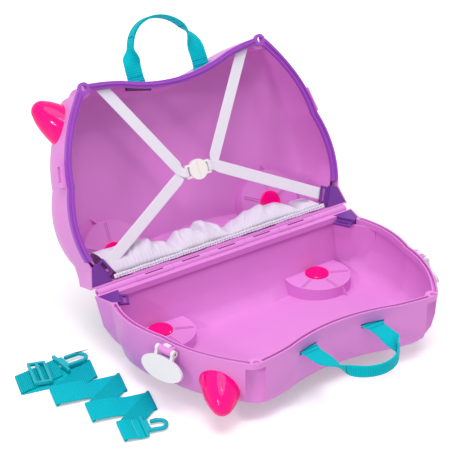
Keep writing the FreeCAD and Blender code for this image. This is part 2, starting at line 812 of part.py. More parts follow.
def frame_corner(end, share, reach):
    """Point off a corner piece's inner edge: share along the edge, reach away from the piece."""
    low = V(*corner_points(1, 0)[3], 0)
    top = V(*corner_points(1, 0)[2], 0)
    along = (top - low).normalize()
    away = V(-along.y, along.x, 0)
    place = low + (top - low) * share + away * reach
    return (end * place.x, place.y)


def corner_piece(end, side):
    """Corner plate in its pocket, with the slotted frame that anchors a luggage strap."""
    span = (V(*frame_corner(1, 1, 0), 0) - V(*frame_corner(1, 0, 0), 0)).Length
    first, last = FRAME_SPAN_SHARES
    bar = mm("frame_bar") / span
    reach = mm("frame_length")
    slot_far = reach - mm("frame_bar")
    slot_near = slot_far - mm("frame_gap")
    low = mm("part_gap")
    high = low + mm("corner_thickness")
    plate = prism(corner_points(end, 0), low, high)
    frame = prism([frame_corner(end, first, -mm("frame_bar")), frame_corner(end, first, reach),
                   frame_corner(end, last, reach), frame_corner(end, last, -mm("frame_bar"))],
                  high - mm("frame_thickness"), high)
    slot = prism([frame_corner(end, first + bar, slot_near), frame_corner(end, first + bar, slot_far),
                  frame_corner(end, last - bar, slot_far), frame_corner(end, last - bar, slot_near)],
                 low, high + mm("frame_thickness"))
    piece = fused([plate, frame]).cut(slot)
    return piece if side > 0 else piece.mirror(V(0, 0, 0), OUT_Z)


for end, end_name in zip(ENDS, ("front", "rear")):
    add_solid(f"corner_base_{end_name}", corner_piece(end, 1), NEAR)
    add_solid(f"corner_lid_{end_name}", corner_piece(end, -1), FAR)

# Grips: rounded cones on the front shoulders
GRIP_DIRECTION_SHARES = (-0.535, 0.785, 0.315)


def grip(side):
    """Cone with a ball end, seated on the outside of its half."""
    tip = mm("grip_tip_radius")
    length = mm("grip_length")
    lean = math.asin((mm("grip_base_radius") - tip) / length)
    touch = V(tip * math.cos(lean), 0, length + tip * math.sin(lean))
    root = -mm("grip_root")
    foot = V(touch.x + (touch.z - root) * math.tan(lean), 0, root)
    halfway = (lean + math.radians(QUARTER_TURN)) / 2
    round_middle = V(tip * math.cos(halfway), 0, length + tip * math.sin(halfway))
    top = V(0, 0, length + tip)
    profile = Part.Wire([
        Part.LineSegment(V(0, 0, root), foot).toShape(),
        Part.LineSegment(foot, touch).toShape(),
        Part.Arc(touch, round_middle, top).toShape(),
        Part.LineSegment(top, V(0, 0, root)).toShape(),
    ])
    cone = Part.Face(profile).revolve(V(0, 0, 0), OUT_Z, FULL_TURN)
    foot_centre = V(along_case(GRIP_SHARES[0]), up_case(GRIP_SHARES[1]), mm("grip_depth"))
    cone.Placement = FreeCAD.Placement(foot_centre, FreeCAD.Rotation(OUT_Z, V(*GRIP_DIRECTION_SHARES)))
    seated = max(cone.cut(OUTER).Solids, key=lambda solid: solid.Volume)
    return seated if side > 0 else seated.mirror(V(0, 0, 0), OUT_Z)


add_solid("grip_base", grip(1), NEAR)
add_solid("grip_lid", grip(-1), FAR)

# End catches: x outward, y along the rim, z in depth
CATCH_ARM_SHARE = 0.6


def catch_turned(shape):
    """Carry a lever drawn about its pin to the pin's place, leaning outward."""
    shape.rotate(V(0, 0, 0), ALONG_Y, mm("catch_lean"))
    shape.translate(V(mm("catch_pin_out"), 0, mm("catch_pin_depth")))
    return shape


def catch_lever():
    """Oval plate hung on two lugs."""
    thickness = mm("catch_plate_thickness")
    centre = mm("catch_plate_centre")
    oval = Part.Ellipse(V(0, centre, 0), mm("catch_plate_half_width"), mm("catch_plate_half_height"))
    plate = Part.Face(Part.Wire(oval.toShape())).extrude(V(0, 0, thickness))
    plate.rotate(V(0, 0, 0), V(1, 1, 1), FULL_TURN / 3)
    solids = [plate]
    start = mm("catch_knuckle_half") + mm("catch_side_gap")
    bore = mm("catch_pin_radius") + mm("running_clearance")
    for side in ENDS:
        ends = sorted((side * start, side * (start + mm("catch_lug"))))
        lug = Part.makeCylinder(mm("catch_knuckle_radius"), mm("catch_lug"), V(0, ends[0], 0), ALONG_Y)
        lug = lug.fuse(box(0, thickness, *ends, 0, centre * CATCH_ARM_SHARE))
        solids.append(lug.cut(Part.makeCylinder(bore, mm("catch_lug"), V(0, ends[0], 0), ALONG_Y)))
    return catch_turned(fused(solids))


def catch_pin():
    """Pin through a catch's lugs and knuckle."""
    half = mm("catch_knuckle_half") + mm("catch_side_gap") + mm("catch_lug")
    pin = Part.makeCylinder(mm("catch_pin_radius"), 2 * half, V(0, -half, 0), ALONG_Y)
    return catch_turned(pin)


def catch_hook():
    """Small hook block on top of a catch's knuckle."""
    top = mm("catch_pin_depth") - mm("catch_knuckle_radius")
    half = mm("catch_hook_half")
    return box(mm("catch_hook_start"), mm("catch_pin_out"), -half, half, top - mm("catch_hook_rise"), top)


for end, end_name in zip(ENDS, ("front", "rear")):
    add_solid(f"catch_{end_name}", at_catch(catch_lever(), end), NEAR)
    add_solid(f"catch_pin_{end_name}", at_catch(catch_pin(), end), NEAR)
    add_solid(f"catch_hook_{end_name}", at_catch(catch_hook(), end), NEAR)

# Webbing handles: a band that leaves its slots flat along the rim and turns on edge at the grip
HANDLE_SHARES = (0, 0.006, 0.05, 0.1, 0.15, 0.2, 0.33, 0.5)
HANDLE_TWIST_SHARES = (0.05, 0.2)
HANDLE_ROUND_SHARE = 0.62
NUDGE_SHARE = 0.002


def ease(value, start, stop):
    """Smooth step from 0 at start to 1 at stop."""
    run = min(1, max(0, (value - start) / (stop - start)))
    return run * run * (3 - 2 * run)


def wall_slope():
    """Rise of the saddle's rim per unit of length at the rear handle slot."""
    x = along_case(HANDLE_SHARE)
    return (saddle_height(x + mm("wall")) - saddle_height(x - mm("wall"))) / (2 * mm("wall"))


def handle_root(side):
    """Point of a handle's swing axis: the middle of the saddle wall at the slots."""
    y = saddle_height(along_case(HANDLE_SHARE)) - mm("handle_wall_inset") - mm("wall") / 2
    return V(0, y, side * mm("handle_slot_depth"))


def loop_place(share, rise, shift):
    """Centre of a handle's band at a share of its length."""
    swell = math.sin(math.pi * min(1, max(0, share)))
    start = -mm("wall") / 2 - mm("handle_bar_gap")
    return V(-along_case(HANDLE_SHARE) * math.cos(math.pi * share) + shift * swell ** 2,
             start + (rise - start) * swell ** HANDLE_ROUND_SHARE, 0)


def loop_section(share, rise, shift, droop):
    """Rectangle across a handle's band: flat along the rim at its feet, on edge at the grip."""
    if share in (0, 1):
        foot_side = 1 - 2 * share
        along = V(wall_slope(), foot_side, 0).normalize()
    else:
        along = loop_place(share + NUDGE_SHARE, rise, shift)
        along -= loop_place(share - NUDGE_SHARE, rise, shift)
        along.normalize()
    centre = loop_place(share, rise, shift)
    twist = ease(min(share, 1 - share), *HANDLE_TWIST_SHARES)
    angle = twist * math.pi / 2
    wide = V(along.y, -along.x, 0) * math.cos(angle) + OUT_Z * math.sin(angle)
    thick = along.cross(wide)
    half_width = (mm("handle_foot_width") * (1 - twist) + mm("handle_grip_width") * twist) / 2
    half_depth = (mm("handle_thickness") * (1 - twist) + mm("handle_grip_thickness") * twist) / 2
    corners = [centre + wide * (a * half_width) + thick * (b * half_depth)
               for a, b in ((-1, -1), (1, -1), (1, 1), (-1, 1))]
    bow = FreeCAD.Rotation(ALONG_X, droop * ease(centre.y, mm("handle_droop_start"), mm("handle_droop_end")))
    corners = [bow.multVec(corner) for corner in corners]
    return Part.makePolygon(corners + corners[:1])


def handle(side, rise, shift, droop):
    """Webbing loop through the two slots of a half."""
    shares = HANDLE_SHARES + tuple(1 - share for share in HANDLE_SHARES[-2::-1])
    sections = [loop_section(share, rise, shift, droop) for share in shares]
    loop = Part.makeLoft(sections, True, True)
    loop.translate(handle_root(side))
    return loop


def handle_bars(side):
    """Two round bars inside the wall that keep the webbing from pulling out."""
    bars = []
    radius = mm("handle_bar_radius")
    length = mm("handle_bar_length")
    for end in ENDS:
        bar = Part.makeCylinder(radius, length, V(-length / 2, -radius, 0), ALONG_X)
        bar.translate(V(0, -mm("wall") / 2 - mm("handle_bar_gap"), 0))
        bar.rotate(V(0, 0, 0), OUT_Z, math.degrees(math.atan(end * wall_slope())))
        bar.translate(handle_root(side) + V(end * along_case(HANDLE_SHARE), 0, 0))
        bars.append(bar)
    return Part.makeCompound(bars)


add_solid("handle_base", handle(1, mm("handle_rise_base"), mm("handle_shift_base"), mm("handle_droop")), NEAR)
add_solid("handle_lid", handle(-1, mm("handle_rise_lid"), mm("handle_shift_lid"), 0), FAR)
add_solid("handle_bars_base", handle_bars(1), NEAR)
add_solid("handle_bars_lid", handle_bars(-1), FAR)

# Luggage straps and their buckle in the far half
ANCHOR_SHARE = 0.55


def strap_band(start, stop, half_width):
    """Corners of a straight band between two places."""
    along = (stop - start).normalize()
    side = V(-along.y, along.x, 0) * half_width
    return [(place.x, place.y) for place in (start - side, stop - side, stop + side, start + side)]


def elastic(end):
    """V-shaped strap from the rim and from the corner frame to one side of the buckle."""
    half_width = mm("elastic_width") / 2
    low = -mm("elastic_depth") - mm("elastic_thickness")
    high = -mm("elastic_depth")
    rim = V(end * along_case(STRAP_RIM_SHARES[0]), up_case(STRAP_RIM_SHARES[1]), 0)
    bar = mm("buckle_x") + end * (mm("buckle_bar_reach") + mm("buckle_split"))
    turn = bar + end * mm("elastic_knot")
    knot = V(turn, up_case(BUCKLE_SHARE), 0)
    span = (V(*frame_corner(1, 1, 0), 0) - V(*frame_corner(1, 0, 0), 0)).Length
    reach = mm("frame_length") + mm("part_gap")
    lower = [frame_corner(end, ANCHOR_SHARE + side * half_width / span, reach) for side in ENDS]
    anchor = V(*frame_corner(end, ANCHOR_SHARE, reach), 0)
    corners = strap_band(anchor, knot, half_width)
    upper = strap_band(rim, knot, half_width)
    tab_x = sorted((bar, turn + end * half_width / 2))
    inset = mm("seal_inset") + mm("seal_width") + mm("part_gap")
    room = Part.Face(outline_wire(inset, inset, inset, inset, 0, low, low)).extrude(V(0, 0, high - low))
    solids = [
        prism([lower[0], lower[1]] + (corners[1:3] if end > 0 else corners[2:0:-1]), low, high),
        prism(upper, low, high),
        box(*tab_x, up_case(BUCKLE_SHARE) - half_width, up_case(BUCKLE_SHARE) + half_width, low, high),
    ]
    clear = box(*sorted((bar, end * mm("case_half_length"))), 0, mm("case_height"), low, high)
    return fused(solids).common(room).common(clear)


def buckle_half(end):
    """Half of the round buckle with the bar that its strap passes round; the rear half has the tongue."""
    radius = mm("buckle_radius")
    thickness = mm("buckle_thickness")
    bar_half = mm("buckle_bar_half")
    bar_width = mm("buckle_bar_width")
    reach = mm("buckle_bar_reach")
    tongue_half = mm("buckle_tongue_half")
    tongue = mm("buckle_tongue_thickness") / 2
    split = mm("buckle_split")
    disc = Part.makeCylinder(radius, thickness, V(0, 0, -thickness / 2))
    kept = disc.common(box(split / 2, radius, -radius, radius, -thickness, thickness))
    solids = [kept, box(reach - bar_width, reach, -bar_half, bar_half, -thickness / 4, thickness / 4)]
    for side in ENDS:
        ends = sorted((side * bar_half, side * (bar_half - bar_width)))
        solids.append(box(radius / 2, reach, *ends, -thickness / 4, thickness / 4))
    half = fused(solids)
    if end > 0:
        half = fused([half, box(-mm("buckle_tongue_reach"), radius / 2, -tongue_half, tongue_half,
                                -tongue, tongue)])
    else:
        half = half.cut(box(-split, mm("buckle_tongue_reach") + split, -tongue_half - split,
                            tongue_half + split, -tongue - split, tongue + split))
        half.rotate(V(0, 0, 0), OUT_Z, HALF_TURN)
    strap_middle = -mm("elastic_depth") - mm("elastic_thickness") / 2
    half.translate(V(mm("buckle_x"), up_case(BUCKLE_SHARE), strap_middle))
    return half


add_solid("elastic_front", elastic(-1), FAR)
add_solid("elastic_rear", elastic(1), FAR)
add_solid("buckle_socket", buckle_half(-1), FAR)
add_solid("buckle_tongue", buckle_half(1), FAR)

# Gathered pocket along the hinge side of the far half


def pocket_section(y, z, fold):
    """Closed band of even folds along the hinge."""
    count = 2 * int(mm("pocket_fold_count"))
    half = corner_points(1, 0)[-1][0] - mm("pocket_end_gap")
    pitch = 2 * half / count
    lower = y - mm("pocket_thickness")
    top = []
    under = []
    for index in range(count):
        x0 = index * pitch - half
        swing = fold if index % 2 else -fold
        top.append(bend(V(x0, y, z), V(x0 + pitch / 2, y + swing, z), V(x0 + pitch, y, z)))
        under.append(bend(V(x0 + pitch, lower, z), V(x0 + pitch / 2, lower + swing, z), V(x0, lower, z)))
    ends = [Part.LineSegment(V(half, y, z), V(half, lower, z)),
            Part.LineSegment(V(-half, lower, z), V(-half, y, z))]
    curves = top + ends[:1] + under[::-1] + ends[1:]
    return Part.Wire([curve.toShape() for curve in curves])


def pocket_fabric():
    """Cloth sheet from the elastic edge down into the far half, its folds opening on the way."""
    front = -mm("pocket_edge_start") - mm("pocket_edge_thickness") - mm("part_gap")
    return Part.makeLoft([
        pocket_section(mm("pocket_front_y"), front, mm("pocket_fold_front")),
        pocket_section(mm("pocket_top_y"), -mm("pocket_top_depth"), mm("pocket_fold_top")),
        pocket_section(mm("pocket_back_y"), -mm("pocket_back_depth"), mm("pocket_fold_back")),
    ], True, True)


def pocket_edge():
    """Elastic band along the pocket's mouth, beside the hinge."""
    low = mm("hinge_setback") + mm("knuckle_root") + mm("part_gap")
    half = corner_points(1, 0)[-1][0] - mm("pocket_edge_end_gap")
    return box(-half, half, low, low + mm("pocket_edge_width"),
               -mm("pocket_edge_start") - mm("pocket_edge_thickness"), -mm("pocket_edge_start"))


add_solid("pocket_fabric", pocket_fabric(), FAR)
add_solid("pocket_edge", pocket_edge(), FAR)

# Tow strap lying folded on the floor beside the front end: places of its folds as shares of the half length
TOW_ROUTE_SHARES = [(-1.226, 0.022), (-1.522, -0.009), (-1.078, -0.109), (-1.430, -0.248), (-1.017, -0.339),
                    (-1.352, -0.517), (-0.987, -0.609), (-1.313, -0.791), (-1.200, -0.826)]
# how many layers lie under each leg between two folds
TOW_LAYERS = (1, 0, 1, 2, 0, 1, 0, 1)
TOW_FOLD_SHARES = (0.335, 0.942)
HOOK_RING_SHARE = 0.55


def tow_fold_edge(index, shift):
    """Two ends of a fold line, moved along the strap by shift."""
    across = V(*TOW_FOLD_SHARES, 0).normalize()
    along = V(across.y, -across.x, 0)
    x, y = TOW_ROUTE_SHARES[index]
    middle = V(x, y, 0) * mm("case_half_length") + along * shift
    return [middle + across * (side * mm("tow_width") / 2) for side in ENDS]


def tow_slab(first, second, z0, z1):
    """Flat piece of strap between two fold lines."""
    corners = [first[0], first[1], second[1], second[0]]
    return prism([(corner.x, corner.y) for corner in corners], z0, z1)


def tow_webbing():
    """Zigzag of flat legs, each turned over into the next."""
    solids = []
    for leg, layers in enumerate(TOW_LAYERS):
        low = layers * mm("tow_lift")
        solids.append(tow_slab(tow_fold_edge(leg, 0), tow_fold_edge(leg + 1, 0), low, low + mm("tow_thickness")))
    for fold in range(1, len(TOW_LAYERS)):
        layers = sorted((TOW_LAYERS[fold - 1], TOW_LAYERS[fold]))
        outward = -1 if fold % 2 else 1
        solids.append(tow_slab(tow_fold_edge(fold, 0), tow_fold_edge(fold, outward * mm("tow_fold")),
                               layers[0] * mm("tow_lift"), layers[1] * mm("tow_lift") + mm("tow_thickness")))
    return fused(solids)


def stadium(x0, x1, half_width, z0, z1):
    """Flat block along x with a round far end."""
    block = box(x0, x1 - half_width, -half_width, half_width, z0, z1)
    return block.fuse(post(x1 - half_width, 0, half_width, z0, z1))


def tow_hook(index, turn, length, z0):
    """Snap hook at an end of the strap: bar frame, then a ring with a gate."""
    z1 = z0 + mm("hook_thickness")
    wire = mm("hook_wire")
    bar_half = mm("tow_width") / 2
    ring_half = bar_half * HOOK_RING_SHARE
    start = mm("part_gap")
    bar = box(start, start + mm("hook_bar"), -bar_half, bar_half, z0, z1)
    ring = stadium(start + mm("hook_bar"), length, ring_half, z0, z1)
    ring = ring.cut(stadium(start + mm("hook_bar") + wire, length - wire, ring_half - wire, z0, z1))
    gate = box(start + mm("hook_bar") + wire, start + mm("hook_bar") + wire + mm("hook_gate_gap"),
               ring_half - wire, ring_half, z0, z1)
    hook = fused([bar, ring.cut(gate)])
    across = V(*TOW_FOLD_SHARES, 0)
    hook.rotate(V(0, 0, 0), OUT_Z, math.degrees(math.atan2(-across.x, across.y)) + turn)
    x, y = TOW_ROUTE_SHARES[index]
    hook.translate(V(x, y, 0) * mm("case_half_length"))
    return hook


def tow_slider():
    """Ladder frame that lies across the doubled end of the strap."""
    half = mm("tow_width") / 2 + mm("slider_bar")
    reach = mm("slider_length") / 2
    bar = mm("slider_bar")
    z0 = (TOW_LAYERS[0] * mm("tow_lift")) + mm("tow_thickness") + mm("part_gap")
    z1 = z0 + mm("slider_thickness")
    slider = box(-reach, reach, -half, half, z0, z1)
    for side in ENDS:
        ends = sorted((side * bar / 2, side * (reach - bar)))
        slider = slider.cut(box(*ends, bar - half, half - bar, z0, z1))
    across = V(*TOW_FOLD_SHARES, 0)
    slider.rotate(V(0, 0, 0), OUT_Z, math.degrees(math.atan2(-across.x, across.y)))
    places = [V(*TOW_ROUTE_SHARES[index], 0) * mm("case_half_length") for index in (0, 1)]
    slider.translate((places[0] + places[1]) / 2)
    return slider


add_solid("tow_webbing", tow_webbing(), FLOOR)
add_solid("tow_slider", tow_slider(), FLOOR)
add_solid("tow_hook_long", tow_hook(0, mm("hook_turn"), mm("hook_length_long"), 2 * mm("tow_lift")), FLOOR)
add_solid("tow_hook_short", tow_hook(-1, 0, mm("hook_length_short"), mm("tow_lift")), FLOOR)

DOC.recompute()

# The frame's origin lies on the floor under the middle of everything
RANGE = FreeCAD.BoundBox()
for piece in PARTS:
    if "Invalid" in piece.State or "Error" in piece.State or piece.Shape.isNull() or not piece.Shape.isValid():
        raise RuntimeError(f"{piece.Label} is not a sound shape")
    RANGE.add(piece.Shape.optimalBoundingBox(False, False))
SHIFT = FreeCAD.Placement(V(-RANGE.Center.x, -RANGE.Center.y, -RANGE.ZMin), FreeCAD.Rotation())
for piece in PARTS:
    piece.Placement = SHIFT * piece.Placement
DOC.recompute()

os.makedirs("parts", exist_ok=True)
for piece in PARTS:
    piece.Shape.exportStep(f"parts/{piece.Label}.step")
print("shift", SHIFT.Base, "range", RANGE)
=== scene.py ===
"""Finishes, webbing, straps, pocket and studio of an open child's ride-on suitcase.

Sizes inside the classes are millimetres in a half's own frame: x along the hinge, y from the hinge up to
the saddle, w out of the split plane. CaseFrame turns them into metres in the row frame.
"""

import json
import logging
import math
from dataclasses import dataclass
from enum import Enum
from functools import partial

import bmesh
import bpy
import numpy as np
from mathutils import Matrix, Vector

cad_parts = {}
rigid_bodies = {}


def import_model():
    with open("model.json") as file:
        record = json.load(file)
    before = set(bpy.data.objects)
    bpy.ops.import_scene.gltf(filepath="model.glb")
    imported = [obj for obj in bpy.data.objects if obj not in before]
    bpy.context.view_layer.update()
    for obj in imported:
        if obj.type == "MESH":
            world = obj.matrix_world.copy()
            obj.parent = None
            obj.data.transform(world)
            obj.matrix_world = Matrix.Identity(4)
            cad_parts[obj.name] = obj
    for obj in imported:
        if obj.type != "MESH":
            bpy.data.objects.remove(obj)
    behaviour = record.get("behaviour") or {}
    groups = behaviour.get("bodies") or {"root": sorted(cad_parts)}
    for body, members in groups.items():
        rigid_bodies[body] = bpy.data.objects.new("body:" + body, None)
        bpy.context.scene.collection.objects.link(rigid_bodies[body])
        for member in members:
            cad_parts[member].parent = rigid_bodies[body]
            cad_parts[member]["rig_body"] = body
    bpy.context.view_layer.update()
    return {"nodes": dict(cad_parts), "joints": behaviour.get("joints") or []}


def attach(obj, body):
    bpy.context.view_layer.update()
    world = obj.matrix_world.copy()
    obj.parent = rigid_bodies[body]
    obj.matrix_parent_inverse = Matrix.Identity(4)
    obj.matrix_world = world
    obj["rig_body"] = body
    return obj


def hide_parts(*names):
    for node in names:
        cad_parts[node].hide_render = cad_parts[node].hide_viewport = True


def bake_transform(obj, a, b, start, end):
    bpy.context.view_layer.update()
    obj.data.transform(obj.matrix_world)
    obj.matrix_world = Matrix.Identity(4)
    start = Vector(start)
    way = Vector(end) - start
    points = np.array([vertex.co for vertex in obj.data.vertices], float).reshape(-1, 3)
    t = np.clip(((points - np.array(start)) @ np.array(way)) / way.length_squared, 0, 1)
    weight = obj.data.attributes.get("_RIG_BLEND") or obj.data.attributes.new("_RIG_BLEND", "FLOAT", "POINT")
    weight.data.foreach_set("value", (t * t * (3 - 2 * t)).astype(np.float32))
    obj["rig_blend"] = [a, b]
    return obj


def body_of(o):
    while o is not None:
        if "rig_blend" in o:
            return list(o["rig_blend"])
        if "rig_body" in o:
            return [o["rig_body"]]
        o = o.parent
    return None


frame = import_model()
LOG = logging.getLogger("ride_on_case")
Array = np.ndarray
Piece = bpy.types.Object
Tree = bpy.types.ShaderNodeTree
Node = bpy.types.Node
Socket = bpy.types.NodeSocket
Row = tuple[float, ...]
Pair = tuple[float, float]
Triple = tuple[float, float, float]
Colour = Triple
MM = 0.001
# Smallest length that is divided by.
TINY = 1e-9
# Added to the place across a two-sided band on its reverse, which the weave darkens as painted shade.
REVERSE_UV = 0.5


class Place(Enum):
    """Which part of the case a point is drawn in."""

    NEAR = "near half"
    FAR = "far half"
    FLOOR = "floor"


class Pattern(Enum):
    """Surface structure of a finish."""

    MOULDED = "moulded grain"
    RIBBED = "ribbed webbing"
    ELASTIC = "woven elastic"
    CLOTH = "plain cloth"
    TURNED = "turned metal"


@dataclass(frozen=True)
class Finish:
    """Colour and surface of one material.

    Colours are sRGB from 0 to 1, lengths of the pattern are millimetres.
    """

    name: str
    slot: str
    colour: Colour
    shade: Colour
    roughness: float
    pattern: Pattern = Pattern.MOULDED
    pitch: float = 0.6
    relief: float = 0.05
    sheen: float = 0.0
    metallic: float = 0.0
    specular: float = 0.5


LILAC = Finish("lilac_moulding", "lilac_plastic", (0.885, 0.565, 0.855), (0.855, 0.52, 0.83), 0.42,
               relief=0.02, specular=0.22)
PURPLE = Finish("purple_seal", "purple_plastic", (0.66, 0.325, 0.78), (0.60, 0.275, 0.72), 0.40,
                relief=0.03, specular=0.3)
DEEP_PURPLE = Finish("purple_corner", "purple_plastic", (0.46, 0.205, 0.60), (0.39, 0.155, 0.53), 0.42,
                     relief=0.04, specular=0.35)
PINK = Finish("pink_gloss", "pink_plastic", (1.0, 0.0, 0.53), (0.96, 0.0, 0.48), 0.07,
              relief=0.003, specular=0.18)
TURQUOISE = Finish("turquoise_moulding", "turquoise_plastic", (0.0, 0.72, 0.77), (0.0, 0.64, 0.70), 0.34,
                   specular=0.25)
WEBBING = Finish("turquoise_weave", "turquoise_webbing", (0.0, 0.735, 0.785), (0.0, 0.53, 0.59), 0.62,
                 Pattern.RIBBED, pitch=3.1, relief=0.6, sheen=0.02, specular=0.06)
THREAD = Finish("seam_thread", "turquoise_webbing", (0.0, 0.42, 0.47), (0.0, 0.34, 0.39), 0.7,
                Pattern.CLOTH, pitch=0.5, relief=0.1, sheen=0.1, specular=0.2)
PALE_THREAD = Finish("pale_thread", "turquoise_webbing", (0.62, 0.70, 0.71), (0.52, 0.61, 0.63), 0.7,
                     Pattern.CLOTH, pitch=0.5, relief=0.1, sheen=0.2)
ELASTIC = Finish("white_elastic_weave", "white_elastic", (0.895, 0.88, 0.92), (0.81, 0.785, 0.85), 0.66,
                 Pattern.ELASTIC, pitch=1.3, relief=0.16, sheen=0.2, specular=0.25)
CLOTH = Finish("white_pocket_cloth", "white_cloth", (0.855, 0.82, 0.885), (0.775, 0.735, 0.82), 0.74,
               Pattern.CLOTH, pitch=0.8, relief=0.06, sheen=0.2, specular=0.2)
LILAC_THREAD = Finish("lilac_thread", "white_elastic", (0.60, 0.46, 0.78), (0.50, 0.37, 0.70), 0.7,
                      Pattern.CLOTH, pitch=0.5, relief=0.1, sheen=0.1, specular=0.2)
WHITE = Finish("white_moulding", "white_plastic", (0.90, 0.89, 0.91), (0.85, 0.84, 0.87), 0.30, relief=0.03)
CREAM = Finish("buckle_moulding", "white_plastic", (0.95, 0.94, 0.92), (0.90, 0.89, 0.86), 0.34, relief=0.03)
# Painted shade: dark lilac for the lip and the slots of the hinge, which stand for its gaps in shadow.
SLIT_SHADE = Finish("hinge_slit_painted_shade", "lilac_plastic", (0.50, 0.15, 0.41), (0.44, 0.12, 0.36), 0.6, specular=0.05)
# Painted shade: the handles' bars and the hinge pin are steel, coloured a dark purple so that they show as the
# shade they lie in rather than as bright steel.
SHADED_BAR = Finish("bar_painted_shade", "steel_pin", (0.36, 0.24, 0.36), (0.29, 0.19, 0.30), 0.55,
             Pattern.TURNED, pitch=0.4, relief=0.02, metallic=0.4)
STEEL = Finish("steel_pin", "steel_pin", (0.72, 0.72, 0.74), (0.62, 0.62, 0.65), 0.3,
               Pattern.TURNED, pitch=0.4, relief=0.02, metallic=1.0)


def ease(value: Array, start: float, stop: float) -> Array:
    """Smooth step from 0 at start to 1 at stop: three times the squared run less twice its cube."""
    run = np.clip((np.asarray(value, float) - start) / (stop - start), 0.0, 1.0)
    return run * run * (3.0 - 2.0 * run)


def unit(vectors: Array) -> Array:
    """Rows scaled to length one."""
    return vectors / np.linalg.norm(vectors, axis=-1, keepdims=True)


def smooth(values: Array, window: int) -> Array:
    """Running mean of a row, weighted by a raised cosine.

    Args:
        values: (n,) array; its end values are held beyond the ends.
        window: odd number of places in the mean.

    Returns:
        Array of the same length.
    """
    kernel = np.hanning(window)
    return np.convolve(np.pad(values, window // 2, mode="edge"), kernel / kernel.sum(), mode="valid")


def linear(colour: Colour) -> tuple[float, float, float, float]:
    """sRGB colour as linear light with full alpha, by the two-part curve of the standard."""
    c = np.asarray(colour, float)
    light = np.where(c <= 0.04045, c / 12.92, ((c + 0.055) / 1.055) ** 2.4)
    return (*light.tolist(), 1.0)


def joint_named(name: str) -> dict:
    """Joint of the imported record."""
    return next(joint for joint in frame["joints"] if joint["name"] == name)


@dataclass(frozen=True)
class CaseFrame:
    """Where the two halves stand in the row frame.

    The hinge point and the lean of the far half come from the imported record's lid joint.
    """

    hinge: Triple
    lean: float

    @classmethod
    def from_record(cls) -> "CaseFrame":
        """Read the hinge of the far half."""
        joint = joint_named("lid_hinge")
        return cls(tuple(joint["pos_m"]), math.radians(180.0 - joint["range_deg"][1]))

    def axes(self, place: Place) -> Array:
        """Rows: where x, y and w of a half point in the row frame."""
        if place is Place.NEAR:
            return np.array([[1.0, 0, 0], [0, -1, 0], [0, 0, -1]])
        if place is Place.FAR:
            c, s = math.cos(self.lean), math.sin(self.lean)
            return np.array([[1.0, 0, 0], [0, c, s], [0, -s, c]])
        return np.eye(3)

    def put(self, points: Array, place: Place) -> Array:
        """Points of a half, in millimetres, as metres in the row frame.

        Args:
            points: array whose last axis is (x, y, w), or (x, y, height) for the floor.
            place: the part they are drawn in.

        Returns:
            Array of the same form in the row frame.
        """
        origin = np.array(self.hinge)
        if place is Place.FLOOR:
            origin = origin * (1, 1, 0)
        return np.asarray(points, float) * MM @ self.axes(place) + origin

    def local(self, point: list[float], place: Place) -> Array:
        """A point of the row frame, in metres, as millimetres in a half."""
        return self.axes(place) @ (np.asarray(point) - self.hinge) / MM

    def turn(self, vectors: Array, place: Place) -> Array:
        """Directions of a half in the row frame."""
        return np.asarray(vectors, float) @ self.axes(place)


CASE = CaseFrame.from_record()


# Meshes


def grid_faces(rows: int, columns: int, closed: bool) -> Array:
    """Quads between neighbouring rows and columns of a grid of points.

    Args:
        rows: number of rows.
        columns: number of points in a row.
        closed: True where the last point of a row joins the first.

    Returns:
        Array of four point numbers per face.
    """
    i, j = np.meshgrid(np.arange(rows - 1), np.arange(columns if closed else columns - 1), indexing="ij")
    k = (j + 1) % columns
    quads = np.stack([i * columns + j, i * columns + k, (i + 1) * columns + k, (i + 1) * columns + j], -1)
    return quads.reshape(-1, 4)


def end_caps(rows: int, columns: int) -> Array:
    """Two faces that close a tube of rows: the first row backwards and the last row."""
    return np.stack([np.arange(columns)[::-1], (rows - 1) * columns + np.arange(columns)])


def points_of(mesh: bpy.types.Mesh) -> Array:
    """Places of a mesh's points, (n, 3) in metres."""
    points = np.empty(len(mesh.vertices) * 3, np.float32)
    mesh.vertices.foreach_get("co", points)
    return points.reshape(-1, 3)


def add_object(name: str, data: bpy.types.ID) -> Piece:
    """New object in the scene that shows the data."""
    thing = bpy.data.objects.new(name, data)
    bpy.context.scene.collection.objects.link(thing)
    return thing


def make_piece(name: str, points: Array, faces: list[Array], uv: Array | None = None,
               outward: bool = True) -> Piece:
    """Mesh object from arrays of points and faces.

    Args:
        name: the piece's name.
        points: (n, 3) array in metres.
        faces: arrays of faces; all faces of one array have the same number of corners.
        uv: (n, 2) array of places along and across the piece in metres.
        outward: turn the faces of a closed piece outwards.

    Returns:
        The object, at the origin.
    """
    points = np.asarray(points, np.float32).reshape(-1, 3)
    corners = np.concatenate([block.reshape(-1) for block in faces]).astype(np.int32)
    sizes = np.concatenate([np.full(len(block), block.shape[1]) for block in faces])
    starts = np.concatenate([[0], np.cumsum(sizes)[:-1]]).astype(np.int32)
    mesh = bpy.data.meshes.new(name)
    mesh.vertices.add(len(points))
    mesh.vertices.foreach_set("co", points.ravel())
    mesh.loops.add(len(corners))
    mesh.loops.foreach_set("vertex_index", corners)
    mesh.polygons.add(len(starts))
    mesh.polygons.foreach_set("loop_start", starts)
    mesh.update(calc_edges=True)
    if uv is not None:
        layer = mesh.uv_layers.new(name="UVMap")
        layer.data.foreach_set("uv", np.asarray(uv, np.float32)[corners].ravel())
    if outward:
        work = bmesh.new()
        work.from_mesh(mesh)
        bmesh.ops.recalc_face_normals(work, faces=work.faces)
        work.to_mesh(mesh)
        work.free()
    mesh.shade_smooth()
    return add_object(name, mesh)


